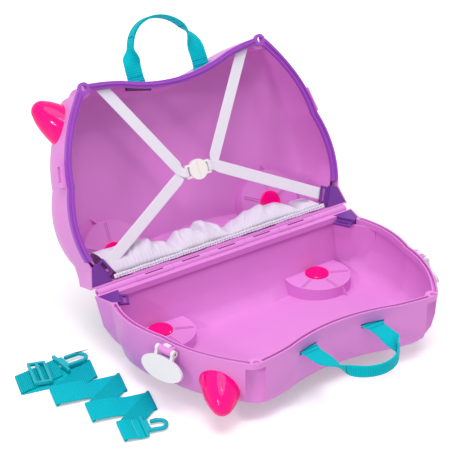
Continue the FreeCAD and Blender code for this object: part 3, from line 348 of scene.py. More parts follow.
def join(pieces: list[Piece], name: str) -> Piece:
    """Several new pieces as one.

    Args:
        pieces: the pieces, which are used up.
        name: name of the whole.

    Returns:
        The whole, at the origin.
    """
    work = bmesh.new()
    for piece in pieces:
        work.from_mesh(piece.data)
    mesh = bpy.data.meshes.new(name)
    work.to_mesh(mesh)
    work.free()
    mesh.shade_smooth()
    for piece in pieces:
        bpy.data.meshes.remove(piece.data)
    return add_object(name, mesh)


def merged_copy(node: str, name: str, crease: float, step: float = 2e-6) -> Piece:
    """Copy of a CAD node with its loose triangles joined, smooth below the crease angle.

    Points are rounded to the step and equal ones become one point; triangles that lose a corner go.

    Args:
        node: name of the CAD node.
        name: name of the copy.
        crease: angle in degrees above which an edge stays sharp.
        step: distance in metres below which points are the same.

    Returns:
        The copy.
    """
    source = frame["nodes"][node].data
    points = points_of(source)
    corners = np.empty(len(source.loops), np.int32)
    source.loops.foreach_get("vertex_index", corners)
    _, first, index = np.unique(np.round(points / step).astype(np.int64), axis=0,
                                return_index=True, return_inverse=True)
    faces = index.reshape(-1)[corners].reshape(-1, 3)
    whole = (faces != np.roll(faces, 1, axis=1)).all(axis=1)
    piece = make_piece(name, points[first], [faces[whole]], outward=False)
    piece.data.set_sharp_from_angle(angle=math.radians(crease))
    weighted = piece.modifiers.new("even_shading", "WEIGHTED_NORMAL")
    weighted.keep_sharp = True
    return piece


@dataclass
class Band:
    """Flat band carried along a path: a rounded strip of given half width and half depth at each place.

    centre, wide and thick are (n, 3) arrays in the row frame; half_width and half_depth are (n,) in metres.
    notch is the depth of the slit in one edge of a band folded double, as a share of the half width, and
    notch_reach its breadth as a share of the half depth. two_sided marks the reverse in the UV map.
    """

    centre: Array
    wide: Array
    thick: Array
    half_width: Array
    half_depth: Array
    across: int = 9
    notch: Array | float = 0.0
    two_sided: bool = False
    around: int = 5
    notch_reach: float = 0.45

    def section(self) -> tuple[Array, Array, Array]:
        """Profile of the band: flat run, round edge, flat run back and round edge.

        Returns:
            Place along the flat run from -1 to 1, then the round edge's offset along and across it.
        """
        run = np.linspace(-1.0, 1.0, self.across)
        turn = np.linspace(math.pi / 2, -math.pi / 2, self.around + 2)[1:-1]
        edge = np.ones(self.around)
        flat = np.concatenate([run, edge, run[::-1], -edge])
        along = np.concatenate([0 * run, np.cos(turn), 0 * run, -np.cos(turn)])
        over = np.concatenate([1 + 0 * run, np.sin(turn), -1 + 0 * run, -np.sin(turn)])
        return flat, along, over

    def lengths(self) -> Array:
        """Length along the path at each place."""
        steps = np.linalg.norm(np.diff(self.centre, axis=0), axis=1)
        return np.concatenate([[0.0], np.cumsum(steps)])

    def piece(self, name: str) -> Piece:
        """Closed mesh of the band.

        A point is the centre, plus wide times (flat * (width - depth) + along * depth), plus thick times
        over * depth. A notch takes a bell curve out of one round edge.

        Args:
            name: the piece's name.

        Returns:
            The piece, with its places along and across the band as UV map.
        """
        flat, along, over = self.section()
        half_width, half_depth, notch = (np.broadcast_to(values, len(self.centre))[:, None] for values in (
            self.half_width, self.half_depth, self.notch))
        side = flat * (half_width - half_depth) + along * half_depth
        slit = notch * half_width * np.clip(along, 0, None) * np.exp(-((over / self.notch_reach) ** 2))
        side = side - slit
        up = over * half_depth
        points = (self.centre[:, None] + self.wide[:, None] * side[..., None]
                  + self.thick[:, None] * up[..., None])
        rows, columns = side.shape
        reverse = np.where(over < 0, REVERSE_UV, 0.0) if self.two_sided else 0.0
        uv = np.stack([np.broadcast_to(self.lengths()[:, None], side.shape), side + reverse], -1)
        faces = [grid_faces(rows, columns, True), end_caps(rows, columns)]
        return make_piece(name, points, faces, uv.reshape(-1, 2))

    def at(self, lengths: Array, side: Array, over: float) -> tuple[Array, Array]:
        """Points and outward directions on a face of the band.

        Args:
            lengths: places along the path in metres.
            side: place across, as a share of the half width.
            over: 1 for the upper face, -1 for the lower.

        Returns:
            Points and directions, (n, 3) each.
        """
        run = self.lengths()
        count = len(self.centre)

        def along(values: Array) -> Array:
            """Rows of an array at the places."""
            return np.stack([np.interp(lengths, run, values[:, k]) for k in range(3)], -1)

        width = np.interp(lengths, run, np.broadcast_to(self.half_width, count))
        depth = np.interp(lengths, run, np.broadcast_to(self.half_depth, count))
        out = unit(along(self.thick)) * over
        point = along(self.centre) + unit(along(self.wide)) * (side * width)[:, None] + out * depth[:, None]
        return point, out


@dataclass(frozen=True)
class Stitching:
    """Rows of sewn stitches: each a short rounded thread that rises from the cloth and dips back.

    end_share is the thread's radius at its ends, as a share of the full one; reach is how far a row goes
    across a band, as a share of its half width.
    """

    thickness: float = 0.45
    gap_share: float = 0.3
    rings: int = 5
    sides: int = 6
    end_share: float = 0.35
    reach: float = 0.9

    def piece(self, name: str, starts: Array, ends: Array, out: Array) -> Piece:
        """All stitches as one mesh: a ring of the thread's radius carried from start to end on a low arch.

        Args:
            name: the piece's name.
            starts: (n, 3) where the stitches begin.
            ends: (n, 3) where they end.
            out: (n, 3) directions away from the cloth.

        Returns:
            The piece.
        """
        t = np.linspace(0.0, 1.0, self.rings)
        angle = np.arange(self.sides) / self.sides * 2 * math.pi
        first = starts + (ends - starts) * self.gap_share / 2
        run = (ends - starts) * (1 - self.gap_share)
        across = unit(np.cross(run, out))
        arch = np.sin(math.pi * t)
        radius = self.thickness / 2 * MM * (self.end_share + (1 - self.end_share) * arch ** 0.5)
        rise = self.thickness / 2 * MM * arch
        line = first[:, None] + run[:, None] * t[None, :, None] + out[:, None] * rise[None, :, None]
        ring = (across[:, None, None] * (np.cos(angle)[None, None] * radius[None, :, None])[..., None]
                + out[:, None, None] * (np.sin(angle)[None, None] * radius[None, :, None])[..., None])
        points = line[:, :, None] + ring
        shift = (np.arange(len(starts)) * self.rings * self.sides)[:, None, None]
        quads = (grid_faces(self.rings, self.sides, True)[None] + shift).reshape(-1, 4)
        caps = (end_caps(self.rings, self.sides)[None] + shift).reshape(-1, self.sides)
        return make_piece(name, points, [quads, caps])

    def across(self, name: str, band: Band, places: list[float], count: int) -> Piece:
        """Rows of stitches across a band, on both of its faces.

        Args:
            name: the piece's name.
            band: the band that carries them.
            places: lengths along the band in metres, one for each row.
            count: number of needle holes in a row.

        Returns:
            The piece.
        """
        sides = np.linspace(-self.reach, self.reach, count)
        rows = [band.at(np.full(count, place), sides, over) for place in places for over in (1.0, -1.0)]
        starts = np.concatenate([points[:-1] for points, _ in rows])
        ends = np.concatenate([points[1:] for points, _ in rows])
        return self.piece(name, starts, ends, np.concatenate([out[:-1] for _, out in rows]))


# Finishes


class Looks:
    """Shared surface effects and the materials made from them."""

    RESULTS = ("Mask", "Roughness", "Height")
    FINE_DETAIL = 3.0
    SLOW_SCALE = 9.0
    GLOSS_DRIFT = 0.4
    FUZZ_SCALE = 260.0
    FUZZ_TONE = 0.5
    FUZZ_GLOSS = 0.2
    # Darkening of a band's reverse, painted shade.
    REVERSE_PAINTED_SHADE = 0.45
    WAVE_SIZE, WAVE_LEVEL = 0.5, 1.0
    RIB_SHARE = {Pattern.RIBBED: 0.75, Pattern.ELASTIC: 0.3, Pattern.CLOTH: 0.5}
    RIBBED_YARN = 0.6
    WOVEN_BUMP, GRAIN_BUMP = 0.6, 0.25
    SHEEN_ROUGHNESS = 0.5

    def __init__(self) -> None:
        """Build the node groups once."""
        self.grain = self.moulded_grain()
        self.weave = self.woven_band()
        self.made: dict[str, bpy.types.Material] = {}

    @classmethod
    def group(cls, name: str, inputs: tuple[str, ...]) -> tuple[Tree, Node, Node]:
        """Node group with number sockets for its inputs and the three results.

        Args:
            name: the group's name.
            inputs: names of its inputs.

        Returns:
            The group, its input node and its node of coordinates.
        """
        tree = bpy.data.node_groups.new(name, "ShaderNodeTree")
        for side, labels in (("INPUT", inputs), ("OUTPUT", cls.RESULTS)):
            for label in labels:
                tree.interface.new_socket(name=label, in_out=side, socket_type="NodeSocketFloat")
        return tree, tree.nodes.new("NodeGroupInput"), tree.nodes.new("ShaderNodeTexCoord")

    @staticmethod
    def close(tree: Tree, *results: Socket) -> Tree:
        """Lead the mask, the roughness and the height out of a group."""
        leave = tree.nodes.new("NodeGroupOutput")
        for socket, result in zip(leave.inputs, results):
            tree.links.new(result, socket)
        return tree

    @staticmethod
    def math_node(tree: Tree, operation: str, *values: Socket | float) -> Socket:
        """Math node whose inputs are sockets or numbers.

        Args:
            tree: where it stands.
            operation: what it does.
            values: one for each input.

        Returns:
            Its output.
        """
        node = tree.nodes.new("ShaderNodeMath")
        node.operation = operation
        for socket, value in zip(node.inputs, values):
            if isinstance(value, (int, float)):
                socket.default_value = value
            else:
                tree.links.new(value, socket)
        return node.outputs[0]

    @staticmethod
    def noise(tree: Tree, place: Node, scale: float = 5.0, detail: float = 2.0) -> Node:
        """Noise on Object coordinates.

        Args:
            tree: where it stands.
            place: the node of coordinates.
            scale: waves to a metre.
            detail: number of finer layers.

        Returns:
            The noise node.
        """
        node = tree.nodes.new("ShaderNodeTexNoise")
        node.inputs["Scale"].default_value = scale
        node.inputs["Detail"].default_value = detail
        tree.links.new(place.outputs["Object"], node.inputs["Vector"])
        return node

    def moulded_grain(self) -> Tree:
        """Fine grain and slow changes of tone and gloss of a moulded surface, on Object coordinates."""
        tree, source, place = self.group("moulded_grain", ("Pitch", "Gloss"))
        calc = partial(self.math_node, tree)
        fine = self.noise(tree, place, detail=self.FINE_DETAIL)
        tree.links.new(calc("DIVIDE", 1.0, source.outputs["Pitch"]), fine.inputs["Scale"])
        slow = self.noise(tree, place, self.SLOW_SCALE)
        wobble = calc("SUBTRACT", slow.outputs["Fac"], 0.5)
        drift = calc("MULTIPLY_ADD", wobble, self.GLOSS_DRIFT, 1.0)
        rough = calc("MULTIPLY", drift, source.outputs["Gloss"])
        return self.close(tree, slow.outputs["Fac"], rough, fine.outputs["Fac"])

    def woven_band(self) -> Tree:
        """Weave that follows the cloth: waves along the piece crossed by waves of the yarns across it.

        Every second rib shifts its yarns by half a wave. The reverse of a two-sided band is darkened, painted
        shade for the folded legs that show it.

        Returns:
            The node group, on UV coordinates, with a fuzz on Object coordinates.
        """
        tree, source, place = self.group("woven_band", ("Rib", "Yarn", "Rib share", "Gloss"))
        calc = partial(self.math_node, tree)
        split = tree.nodes.new("ShaderNodeSeparateXYZ")
        tree.links.new(place.outputs["UV"], split.inputs[0])
        along = calc("DIVIDE", split.outputs[0], source.outputs["Rib"])
        across = calc("DIVIDE", split.outputs[1], source.outputs["Yarn"])
        stagger = calc("MULTIPLY_ADD", calc("FLOOR", along), 0.5, across)

        def wave(value: Socket) -> Socket:
            """Sine about a level at which the mask is full, so only the furrows show the shade."""
            turned = calc("SINE", calc("MULTIPLY", value, 2 * math.pi))
            return calc("MULTIPLY_ADD", turned, self.WAVE_SIZE, self.WAVE_LEVEL)

        mixed = tree.nodes.new("ShaderNodeMix")
        tree.links.new(source.outputs["Rib share"], mixed.inputs[0])
        tree.links.new(wave(stagger), mixed.inputs[2])
        tree.links.new(wave(along), mixed.inputs[3])
        height = mixed.outputs[0]
        noise = self.noise(tree, place, self.FUZZ_SCALE)
        fuzz = calc("MULTIPLY", calc("SUBTRACT", noise.outputs["Fac"], 0.5), self.FUZZ_TONE)
        reverse = calc("GREATER_THAN", split.outputs[1], REVERSE_UV / 2)
        # Painted shade on the reverse of a two-sided band.
        reverse_shade = calc("MULTIPLY", reverse, self.REVERSE_PAINTED_SHADE)
        mask = calc("SUBTRACT", calc("ADD", height, fuzz), reverse_shade)
        rough = calc("MULTIPLY_ADD", fuzz, self.FUZZ_GLOSS, source.outputs["Gloss"])
        return self.close(tree, mask, rough, height)

    def material(self, finish: Finish) -> bpy.types.Material:
        """Material of a finish, made once.

        Args:
            finish: the finish.

        Returns:
            The material: tone between two colours, roughness and relief from the shared groups.
        """
        if finish.name in self.made:
            return self.made[finish.name]
        material = bpy.data.materials.new(finish.name)
        material.use_nodes = True
        tree = material.node_tree
        shader = tree.nodes["Principled BSDF"]
        effect = tree.nodes.new("ShaderNodeGroup")
        woven = finish.pattern in self.RIB_SHARE
        effect.node_tree = self.weave if woven else self.grain
        pitch = finish.pitch * MM
        settings = {"Pitch": pitch}
        if woven:
            yarn = self.RIBBED_YARN if finish.pattern is Pattern.RIBBED else 1.0
            settings = {"Rib": pitch, "Yarn": pitch * yarn, "Rib share": self.RIB_SHARE[finish.pattern]}
        settings["Gloss"] = finish.roughness
        constants = {"Metallic": finish.metallic, "Specular IOR Level": finish.specular,
                     "Sheen Weight": finish.sheen, "Sheen Roughness": self.SHEEN_ROUGHNESS}
        bump = tree.nodes.new("ShaderNodeBump")
        relief = {"Strength": self.WOVEN_BUMP if woven else self.GRAIN_BUMP, "Distance": finish.relief * MM}
        for node, values in ((effect, settings), (shader, constants), (bump, relief)):
            for label, value in values.items():
                node.inputs[label].default_value = value
        # Inputs 6 and 7 and output 2 of a mix node are its colours.
        tone = tree.nodes.new("ShaderNodeMix")
        tone.data_type = "RGBA"
        tone.inputs[6].default_value = linear(finish.shade)
        tone.inputs[7].default_value = linear(finish.colour)
        tree.links.new(effect.outputs["Mask"], tone.inputs[0])
        tree.links.new(tone.outputs[2], shader.inputs["Base Color"])
        tree.links.new(effect.outputs["Roughness"], shader.inputs["Roughness"])
        tree.links.new(effect.outputs["Height"], bump.inputs["Height"])
        tree.links.new(bump.outputs["Normal"], shader.inputs["Normal"])
        self.made[finish.name] = material
        return material

    def dress(self, piece: Piece, finish: Finish) -> Piece:
        """Give a piece the material of one finish."""
        piece.data.materials.clear()
        piece.data.materials.append(self.material(finish))
        return piece


# Sub-assemblies


@dataclass(frozen=True)
class EggForm:
    """Fuller form of a grip: the straight cone of its node swells to an ellipsoid about the same axis.

    foot and direction give the axis in the near half; middle is the ellipsoid's centre along it, reach and
    radius its half axes. Points beyond side_from of the full radius belong to the side.
    """

    foot: Triple = (-175.95, 229.99, 44.5)
    direction: Triple = (-0.535, 0.785, 0.315)
    middle: float = -25.0
    reach: float = 78.5
    radius: float = 30.0
    side_from: float = 0.75
    cuts: int = 3

    def swell(self, piece: Piece, place: Place) -> None:
        """Divide a grip's copy and push its side out.

        With z along the axis from the foot, a point on the side goes out to the radius times the root of one
        less the squared share of (z - middle) in the reach, wherever that is more than the cone's own radius.

        Args:
            piece: the grip's copy.
            place: the half it sits on.
        """
        work = bmesh.new()
        work.from_mesh(piece.data)
        bmesh.ops.subdivide_edges(work, edges=work.edges, cuts=self.cuts, use_grid_fill=True)
        work.to_mesh(piece.data)
        work.free()
        mirror = np.array([1.0, 1.0, 1.0 if place is Place.NEAR else -1.0])
        axis = unit(CASE.turn(np.array(self.direction) * mirror, place))
        foot = CASE.put(np.array(self.foot) * mirror, place)
        offset = points_of(piece.data) - foot
        z = offset @ axis
        radial = offset - z[:, None] * axis
        r = np.linalg.norm(radial, axis=1)
        share = (z / MM - self.middle) / self.reach
        full = self.radius * MM * np.sqrt(np.clip(1 - share ** 2, 0, 1))
        on_side = (r > self.side_from * full) & (z > 0)
        scale = np.where(on_side, np.maximum(full, r) / np.maximum(r, TINY), 1.0)
        points = foot + z[:, None] * axis + radial * scale[:, None]
        piece.data.vertices.foreach_set("co", points.astype(np.float32).ravel())
        piece.data.update()


@dataclass
class Mouldings:
    """Rigid pieces: smooth copies of the CAD nodes with softened edges and moulded finishes."""

    GRIPS = {"grip_base": Place.NEAR, "grip_lid": Place.FAR}

    looks: Looks
    crease: float = 38.0
    edge_segments: int = 3

    def finishes(self) -> dict[str, tuple[Finish, float]]:
        """Finish of each rigid node, and how far its sharp edges are softened in millimetres."""
        plan: dict[str, tuple[Finish, float]] = {
            "base_shell": (LILAC, 0.0), "lid_shell": (LILAC, 0.0), "lid_rim_seal": (PURPLE, 0.0),
            # The hinge pin and the handles' bars take the dark purple of painted shade.
            "hinge_pin": (SHADED_BAR, 0.0), "buckle_socket": (CREAM, 0.5), "buckle_tongue": (CREAM, 0.5),
            "grip_base": (PINK, 0.0), "grip_lid": (PINK, 0.0),
            "handle_bars_base": (SHADED_BAR, 0.0), "handle_bars_lid": (SHADED_BAR, 0.0),
            "tow_slider": (TURQUOISE, 0.9),
            "tow_hook_long": (TURQUOISE, 1.4), "tow_hook_short": (TURQUOISE, 1.4),
        }
        for end in ("front", "rear"):
            plan[f"catch_{end}"] = (WHITE, 0.8)
            plan[f"catch_pin_{end}"] = (STEEL, 0.0)
            plan[f"catch_hook_{end}"] = (WHITE, 0.3)
            for half in ("base", "lid"):
                plan[f"corner_{half}_{end}"] = (DEEP_PURPLE, 0.6)
                plan[f"wheel_{half}_{end}"] = (TURQUOISE, 0.8)
                plan[f"trim_{half}_{end}"] = (PINK, 0.3)
                plan[f"axle_{half}_{end}"] = (STEEL, 0.0)
                plan[f"disc_{half}_{end}"] = (PINK, 0.4)
        return plan

    def build(self) -> list[Piece]:
        """Make every rigid piece in place of its node."""
        pieces = []
        for node, (finish, soft) in self.finishes().items():
            piece = merged_copy(node, f"{node}_moulded", self.crease)
            if node in self.GRIPS:
                EggForm().swell(piece, self.GRIPS[node])
            if soft:
                edge = piece.modifiers.new("soft_edges", "BEVEL")
                edge.width = soft * MM
                edge.segments = self.edge_segments
                edge.limit_method = "ANGLE"
                edge.angle_limit = math.radians(self.crease)
                piece.modifiers.move(len(piece.modifiers) - 1, 0)
            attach(piece, body_of(frame["nodes"][node])[0])
            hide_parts(node)
            pieces.append(self.looks.dress(piece, finish))
        return pieces


@dataclass
class HingeLine:
    """Hinge as seen from inside, in painted shade: a dark lip of the far half behind it that keeps the light
    out and hides the floor seen through the gaps, and dark slots painted on the knuckles.
    """

    looks: Looks
    lip_half_length: float = 219.0
    lip_radii: Pair = (5.56, 5.84)
    lip_sweep: Pair = (2.0, 66.0)
    slot_pitch: float = 62.86
    slot_length: float = 30.0
    slot_radii: Pair = (5.2, 5.54)
    slot_sweep: Pair = (-55.0, -34.5)
    steps: int = 14
    crease: float = 40.0

    def strip(self, name: str, ends: Pair, radii: Pair, sweep: Pair) -> Piece:
        """Curved strip about the hinge axis.

        Args:
            name: the piece's name.
            ends: where it starts and stops along the hinge.
            radii: its inner and outer radius.
            sweep: from which angle to which it runs, in degrees from the far half's y towards its outside.

        Returns:
            The piece.
        """
        angle = np.radians(np.linspace(*sweep, self.steps))
        radius = np.repeat(radii[::-1], self.steps)
        turn = np.concatenate([angle, angle[::-1]])
        ring = np.stack([0 * turn, radius * np.cos(turn), -radius * np.sin(turn)], -1)
        points = np.stack([ring + [end, 0.0, 0.0] for end in ends])
        rows, columns = points.shape[:2]
        faces = [grid_faces(rows, columns, True), end_caps(rows, columns)]
        piece = make_piece(name, CASE.put(points, Place.FAR), faces)
        piece.data.set_sharp_from_angle(angle=math.radians(self.crease))
        return piece

    def build(self) -> list[Piece]:
        """Dark lip on the far half, and a dark slot in each of the five middle knuckles of both halves, all
        painted shade.
        """
        half = self.lip_half_length
        lip = self.strip("hinge_shade_lip", (-half, half), self.lip_radii, self.lip_sweep)
        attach(lip, "lid")
        pieces = [self.looks.dress(lip, SLIT_SHADE)]
        for number in range(-2, 3):
            middle = number * self.slot_pitch
            ends = (middle - self.slot_length / 2, middle + self.slot_length / 2)
            slot = self.strip(f"hinge_slot_shade_{number + 3}", ends, self.slot_radii, self.slot_sweep)
            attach(slot, "base" if number % 2 else "lid")
            pieces.append(self.looks.dress(slot, SLIT_SHADE))
        return pieces


@dataclass
class CarryHandle:
    """Webbing loop through two slots: flat along the rim at its feet, folded double and on edge at the grip.

    Heights over the slot say where the loop begins to bow and where the hem ends; twist_from and twist_to
    are shares of the loop's length; seams are lengths from the feet and a share of the length.
    """

    looks: Looks
    name: str
    place: Place
    rise: float
    shift: float
    droop: float
    foot_shift: float = 0.0
    half_span: float = 56.0
    start: float = -1.5
    round_power: float = 0.62
    foot_width: float = 27.0
    hem_width: float = 33.0
    grip_width: float = 18.0
    foot_depth: float = 2.2
    grip_depth: float = 3.6
    twist_from: float = 0.05
    twist_to: Pair = (0.2, 0.2)
    bow_heights: Pair = (4.0, 26.0)
    hem_heights: Pair = (11.0, 3.0)
    notch: float = 0.28
    points: int = 141
    end_trim: float = 1e-5
    foot_seams: Pair = (5.2, 13.0)
    grip_seam: float = 0.29
    seam_holes: int = 13
    stitching: Stitching = Stitching(thickness=0.8, gap_share=0.12)

    def band(self) -> Band:
        """Path and section of the loop.

        Along the loop x runs as minus the cosine and y rises as the sine to a low power, so the legs stand
        steeply at the slots. The band turns a quarter about its own line between two shares of the length,
        while it narrows from the hem at the slot and the full width to the folded one.

        Returns:
            The band in the row frame.
        """
        t = np.linspace(0.0, 1.0, self.points)
        share = np.clip(ease(t, 0.0, 1.0), self.end_trim, 1 - self.end_trim)
        swell = np.sin(math.pi * share)
        x = -self.half_span * np.cos(math.pi * share) + self.shift * swell ** 2 + self.foot_shift
        y = self.start + (self.rise - self.start) * swell ** self.round_power
        line = np.stack([x, y, 0 * x], -1)
        along = unit(np.gradient(line, t, axis=0))
        twist = np.where(share < 0.5, ease(share, self.twist_from, self.twist_to[0]),
                         ease(1 - share, self.twist_from, self.twist_to[1]))
        angle = (twist * math.pi / 2)[:, None]
        flat = np.stack([along[:, 1], -along[:, 0], 0 * x], -1)
        depth = np.array([0.0, 0.0, 1.0])
        wide = flat * np.cos(angle) + depth * np.sin(angle)
        thick = np.cross(along, wide)
        bow = np.radians(self.droop) * ease(y, *self.bow_heights)

        def bowed(v: Array) -> Array:
            """Rows turned about x by the bow at their place."""
            c, s = np.cos(bow), np.sin(bow)
            return np.stack([v[:, 0], v[:, 1] * c - v[:, 2] * s, v[:, 1] * s + v[:, 2] * c], -1)

        root = CASE.local(joint_named(f"{self.name}_swing")["pos_m"], self.place) * (0.0, 1.0, 1.0)
        half_width = (self.foot_width * (1 - twist) + self.grip_width * twist) / 2
        half_width = half_width + (self.hem_width - self.foot_width) / 2 * ease(y, *self.hem_heights)
        half_depth = (self.foot_depth * (1 - twist) + self.grip_depth * twist) / 2
        return Band(CASE.put(bowed(line) + root, self.place), CASE.turn(bowed(wide), self.place),
                    CASE.turn(bowed(thick), self.place), half_width * MM, half_depth * MM,
                    notch=self.notch * twist)

    def build(self) -> list[Piece]:
        """Webbing and its stitches across the feet and the grip's ends, riding on the handle's own body."""
        band = self.band()
        length = band.lengths()[-1]
        area = float(np.trapz(2 * band.half_width, band.lengths()))
        webbing = band.piece(f"{self.name}_webbing")
        seams = [seam * MM for seam in self.foot_seams] + [length * self.grip_seam]
        seams = seams + [length - seam for seam in seams]
        stitches = self.stitching.across(f"{self.name}_stitches", band, seams, self.seam_holes)
        for piece, finish in ((webbing, WEBBING), (stitches, THREAD)):
            self.looks.dress(piece, finish)
            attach(piece, self.name)
        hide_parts(self.name)
        return [webbing, stitches]


@dataclass
class LuggageStraps:
    """Two V-shaped elastic straps from the rim and the corner frames to the buckle of the far half.

    Places are (x, y) in the far half. The runs are lengths left to the strap's end between which the band
    leans and narrows; climb is where it rises to the bar, measured from the bar's outer edge.
    """

    looks: Looks
    width: float = 17.6
    thickness: float = 0.72
    depth: float = 7.0
    rim: Pair = (121.1, 267.6)
    rim_slope: float = math.radians(8.3)
    anchor: Pair = (188.2, 31.7)
    buckle: Pair = (-5.5, 121.0)
    knot_out: float = 25.8
    knot_curve: float = 13.0
    bar_out: float = 21.0
    bar_in: float = 18.0
    bar_half_width: float = 6.9
    bar_clear: float = 1.4
    bar_lift: float = 2.35
    climb: Pair = (8.0, 0.5)
    tuck: float = 0.75
    sink: float = 0.35
    layer_gap: float = 0.42
    cut_length: float = 12.0
    lean_run: Pair = (4.0, 26.0)
    narrow_run: Pair = (20.0, 6.0)
    points: tuple[int, int, int] = (60, 40, 24)
    across: int = 11
    give_from: float = 104.0
    give_to: float = 8.0

    def path(self, end: float, top: bool, over: bool) -> Band:
        """One leg of a V: straight to the knot, turning into the buckle's bar and round it.

        The plan is straight, with a short quadratic curve at the knot and a straight run to the bar. The
        band's width turns from square to the leg to square to the bar by a smooth step, and narrows into the
        bar's opening; at the rim its end is cut along the seal. The upper layer climbs over the bar and dips
        behind it, the lower layer passes under it.

        Args:
            end: -1 for the front strap, 1 for the rear one.
            top: True for the leg to the rim.
            over: True for the layer that lies in front.

        Returns:
            The band in the row frame.
        """
        middle, level = end * self.buckle[0], self.buckle[1]
        bar, hole = self.bar_out + middle, self.bar_in + middle
        face = 1.0 if over else -1.0
        far = np.array(self.rim if top else self.anchor)
        knot = np.array([self.knot_out + middle, level])
        outer = np.array([bar + self.bar_clear, level])
        inner = np.array([hole - self.tuck, level])
        start = knot + unit(far - knot) * self.knot_curve
        run, t, rest = (np.linspace(0, 1, count)[:, None] for count in self.points)
        straight = far + (start - far) * run[:-1]
        turn = (1 - t) ** 2 * start + 2 * t * (1 - t) * knot + t ** 2 * outer
        plan = np.concatenate([straight, turn, rest[1:] * (inner - outer) + outer])
        x = plan[:, 0]
        steps = np.linalg.norm(np.diff(plan, axis=0), axis=1)
        left = np.concatenate([np.cumsum(steps[::-1])[::-1], [0.0]])
        near_bar = ease(x, bar + self.climb[0], bar + self.climb[1])
        behind = ease(x, hole, hole - self.tuck)
        lift = face * self.bar_lift * near_bar
        w = -self.depth - self.sink + face * self.layer_gap * (1 - near_bar) + lift * (1 - behind)
        line = np.stack([end * x, plan[:, 1], w], -1)
        along = unit(np.gradient(line, axis=0))
        course = math.atan2(*(far - knot)[::-1])
        skew = 0 * x
        if top:
            skew = (math.pi / 2 + self.rim_slope - course) * ease(left[0] - left, self.cut_length, 0.0)
        lean = course * ease(left, *self.lean_run) + skew
        wide = np.stack([-end * np.sin(lean), np.cos(lean), 0 * x], -1)
        thick = unit(np.cross(along, wide))
        narrowing = (self.bar_half_width - self.width / 2) * ease(left, *self.narrow_run)
        half_width = (self.width / 2 + narrowing) / np.cos(skew)
        return Band(CASE.put(line, Place.FAR), CASE.turn(wide, Place.FAR), CASE.turn(thick, Place.FAR),
                    half_width * MM, np.full(len(line), self.thickness / 2 * MM), across=self.across)

    def strap(self, name: str, end: float) -> tuple[Piece, float]:
        """Both legs of a V as one piece.

        Args:
            name: the strap's CAD node.
            end: -1 for the front, 1 for the rear.

        Returns:
            The piece and the length of its two legs in metres.
        """
        top_over = end < 0
        legs = [self.path(end, True, top_over), self.path(end, False, not top_over)]
        pieces = [leg.piece(f"{name}_band_{index}") for index, leg in enumerate(legs)]
        return join(pieces, f"{name}_band"), float(sum(leg.lengths()[-1] for leg in legs))

    def build(self) -> list[Piece]:
        """Both straps; the rear one gives way with the buckle's tongue."""
        front, front_length = self.strap("elastic_front", -1.0)
        rear, rear_length = self.strap("elastic_rear", 1.0)
        for piece in (front, rear):
            self.looks.dress(piece, ELASTIC)
        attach(front, "lid")
        give_to = self.buckle[0] + self.bar_out + self.give_to
        far_end, near_end = (CASE.put(np.array([x, self.buckle[1], -self.depth]), Place.FAR)
                             for x in (self.give_from, give_to))
        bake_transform(rear, "lid", "buckle_tongue", start=far_end.tolist(), end=near_end.tolist())
        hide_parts("elastic_front")
        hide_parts("elastic_rear")
        return [front, rear]


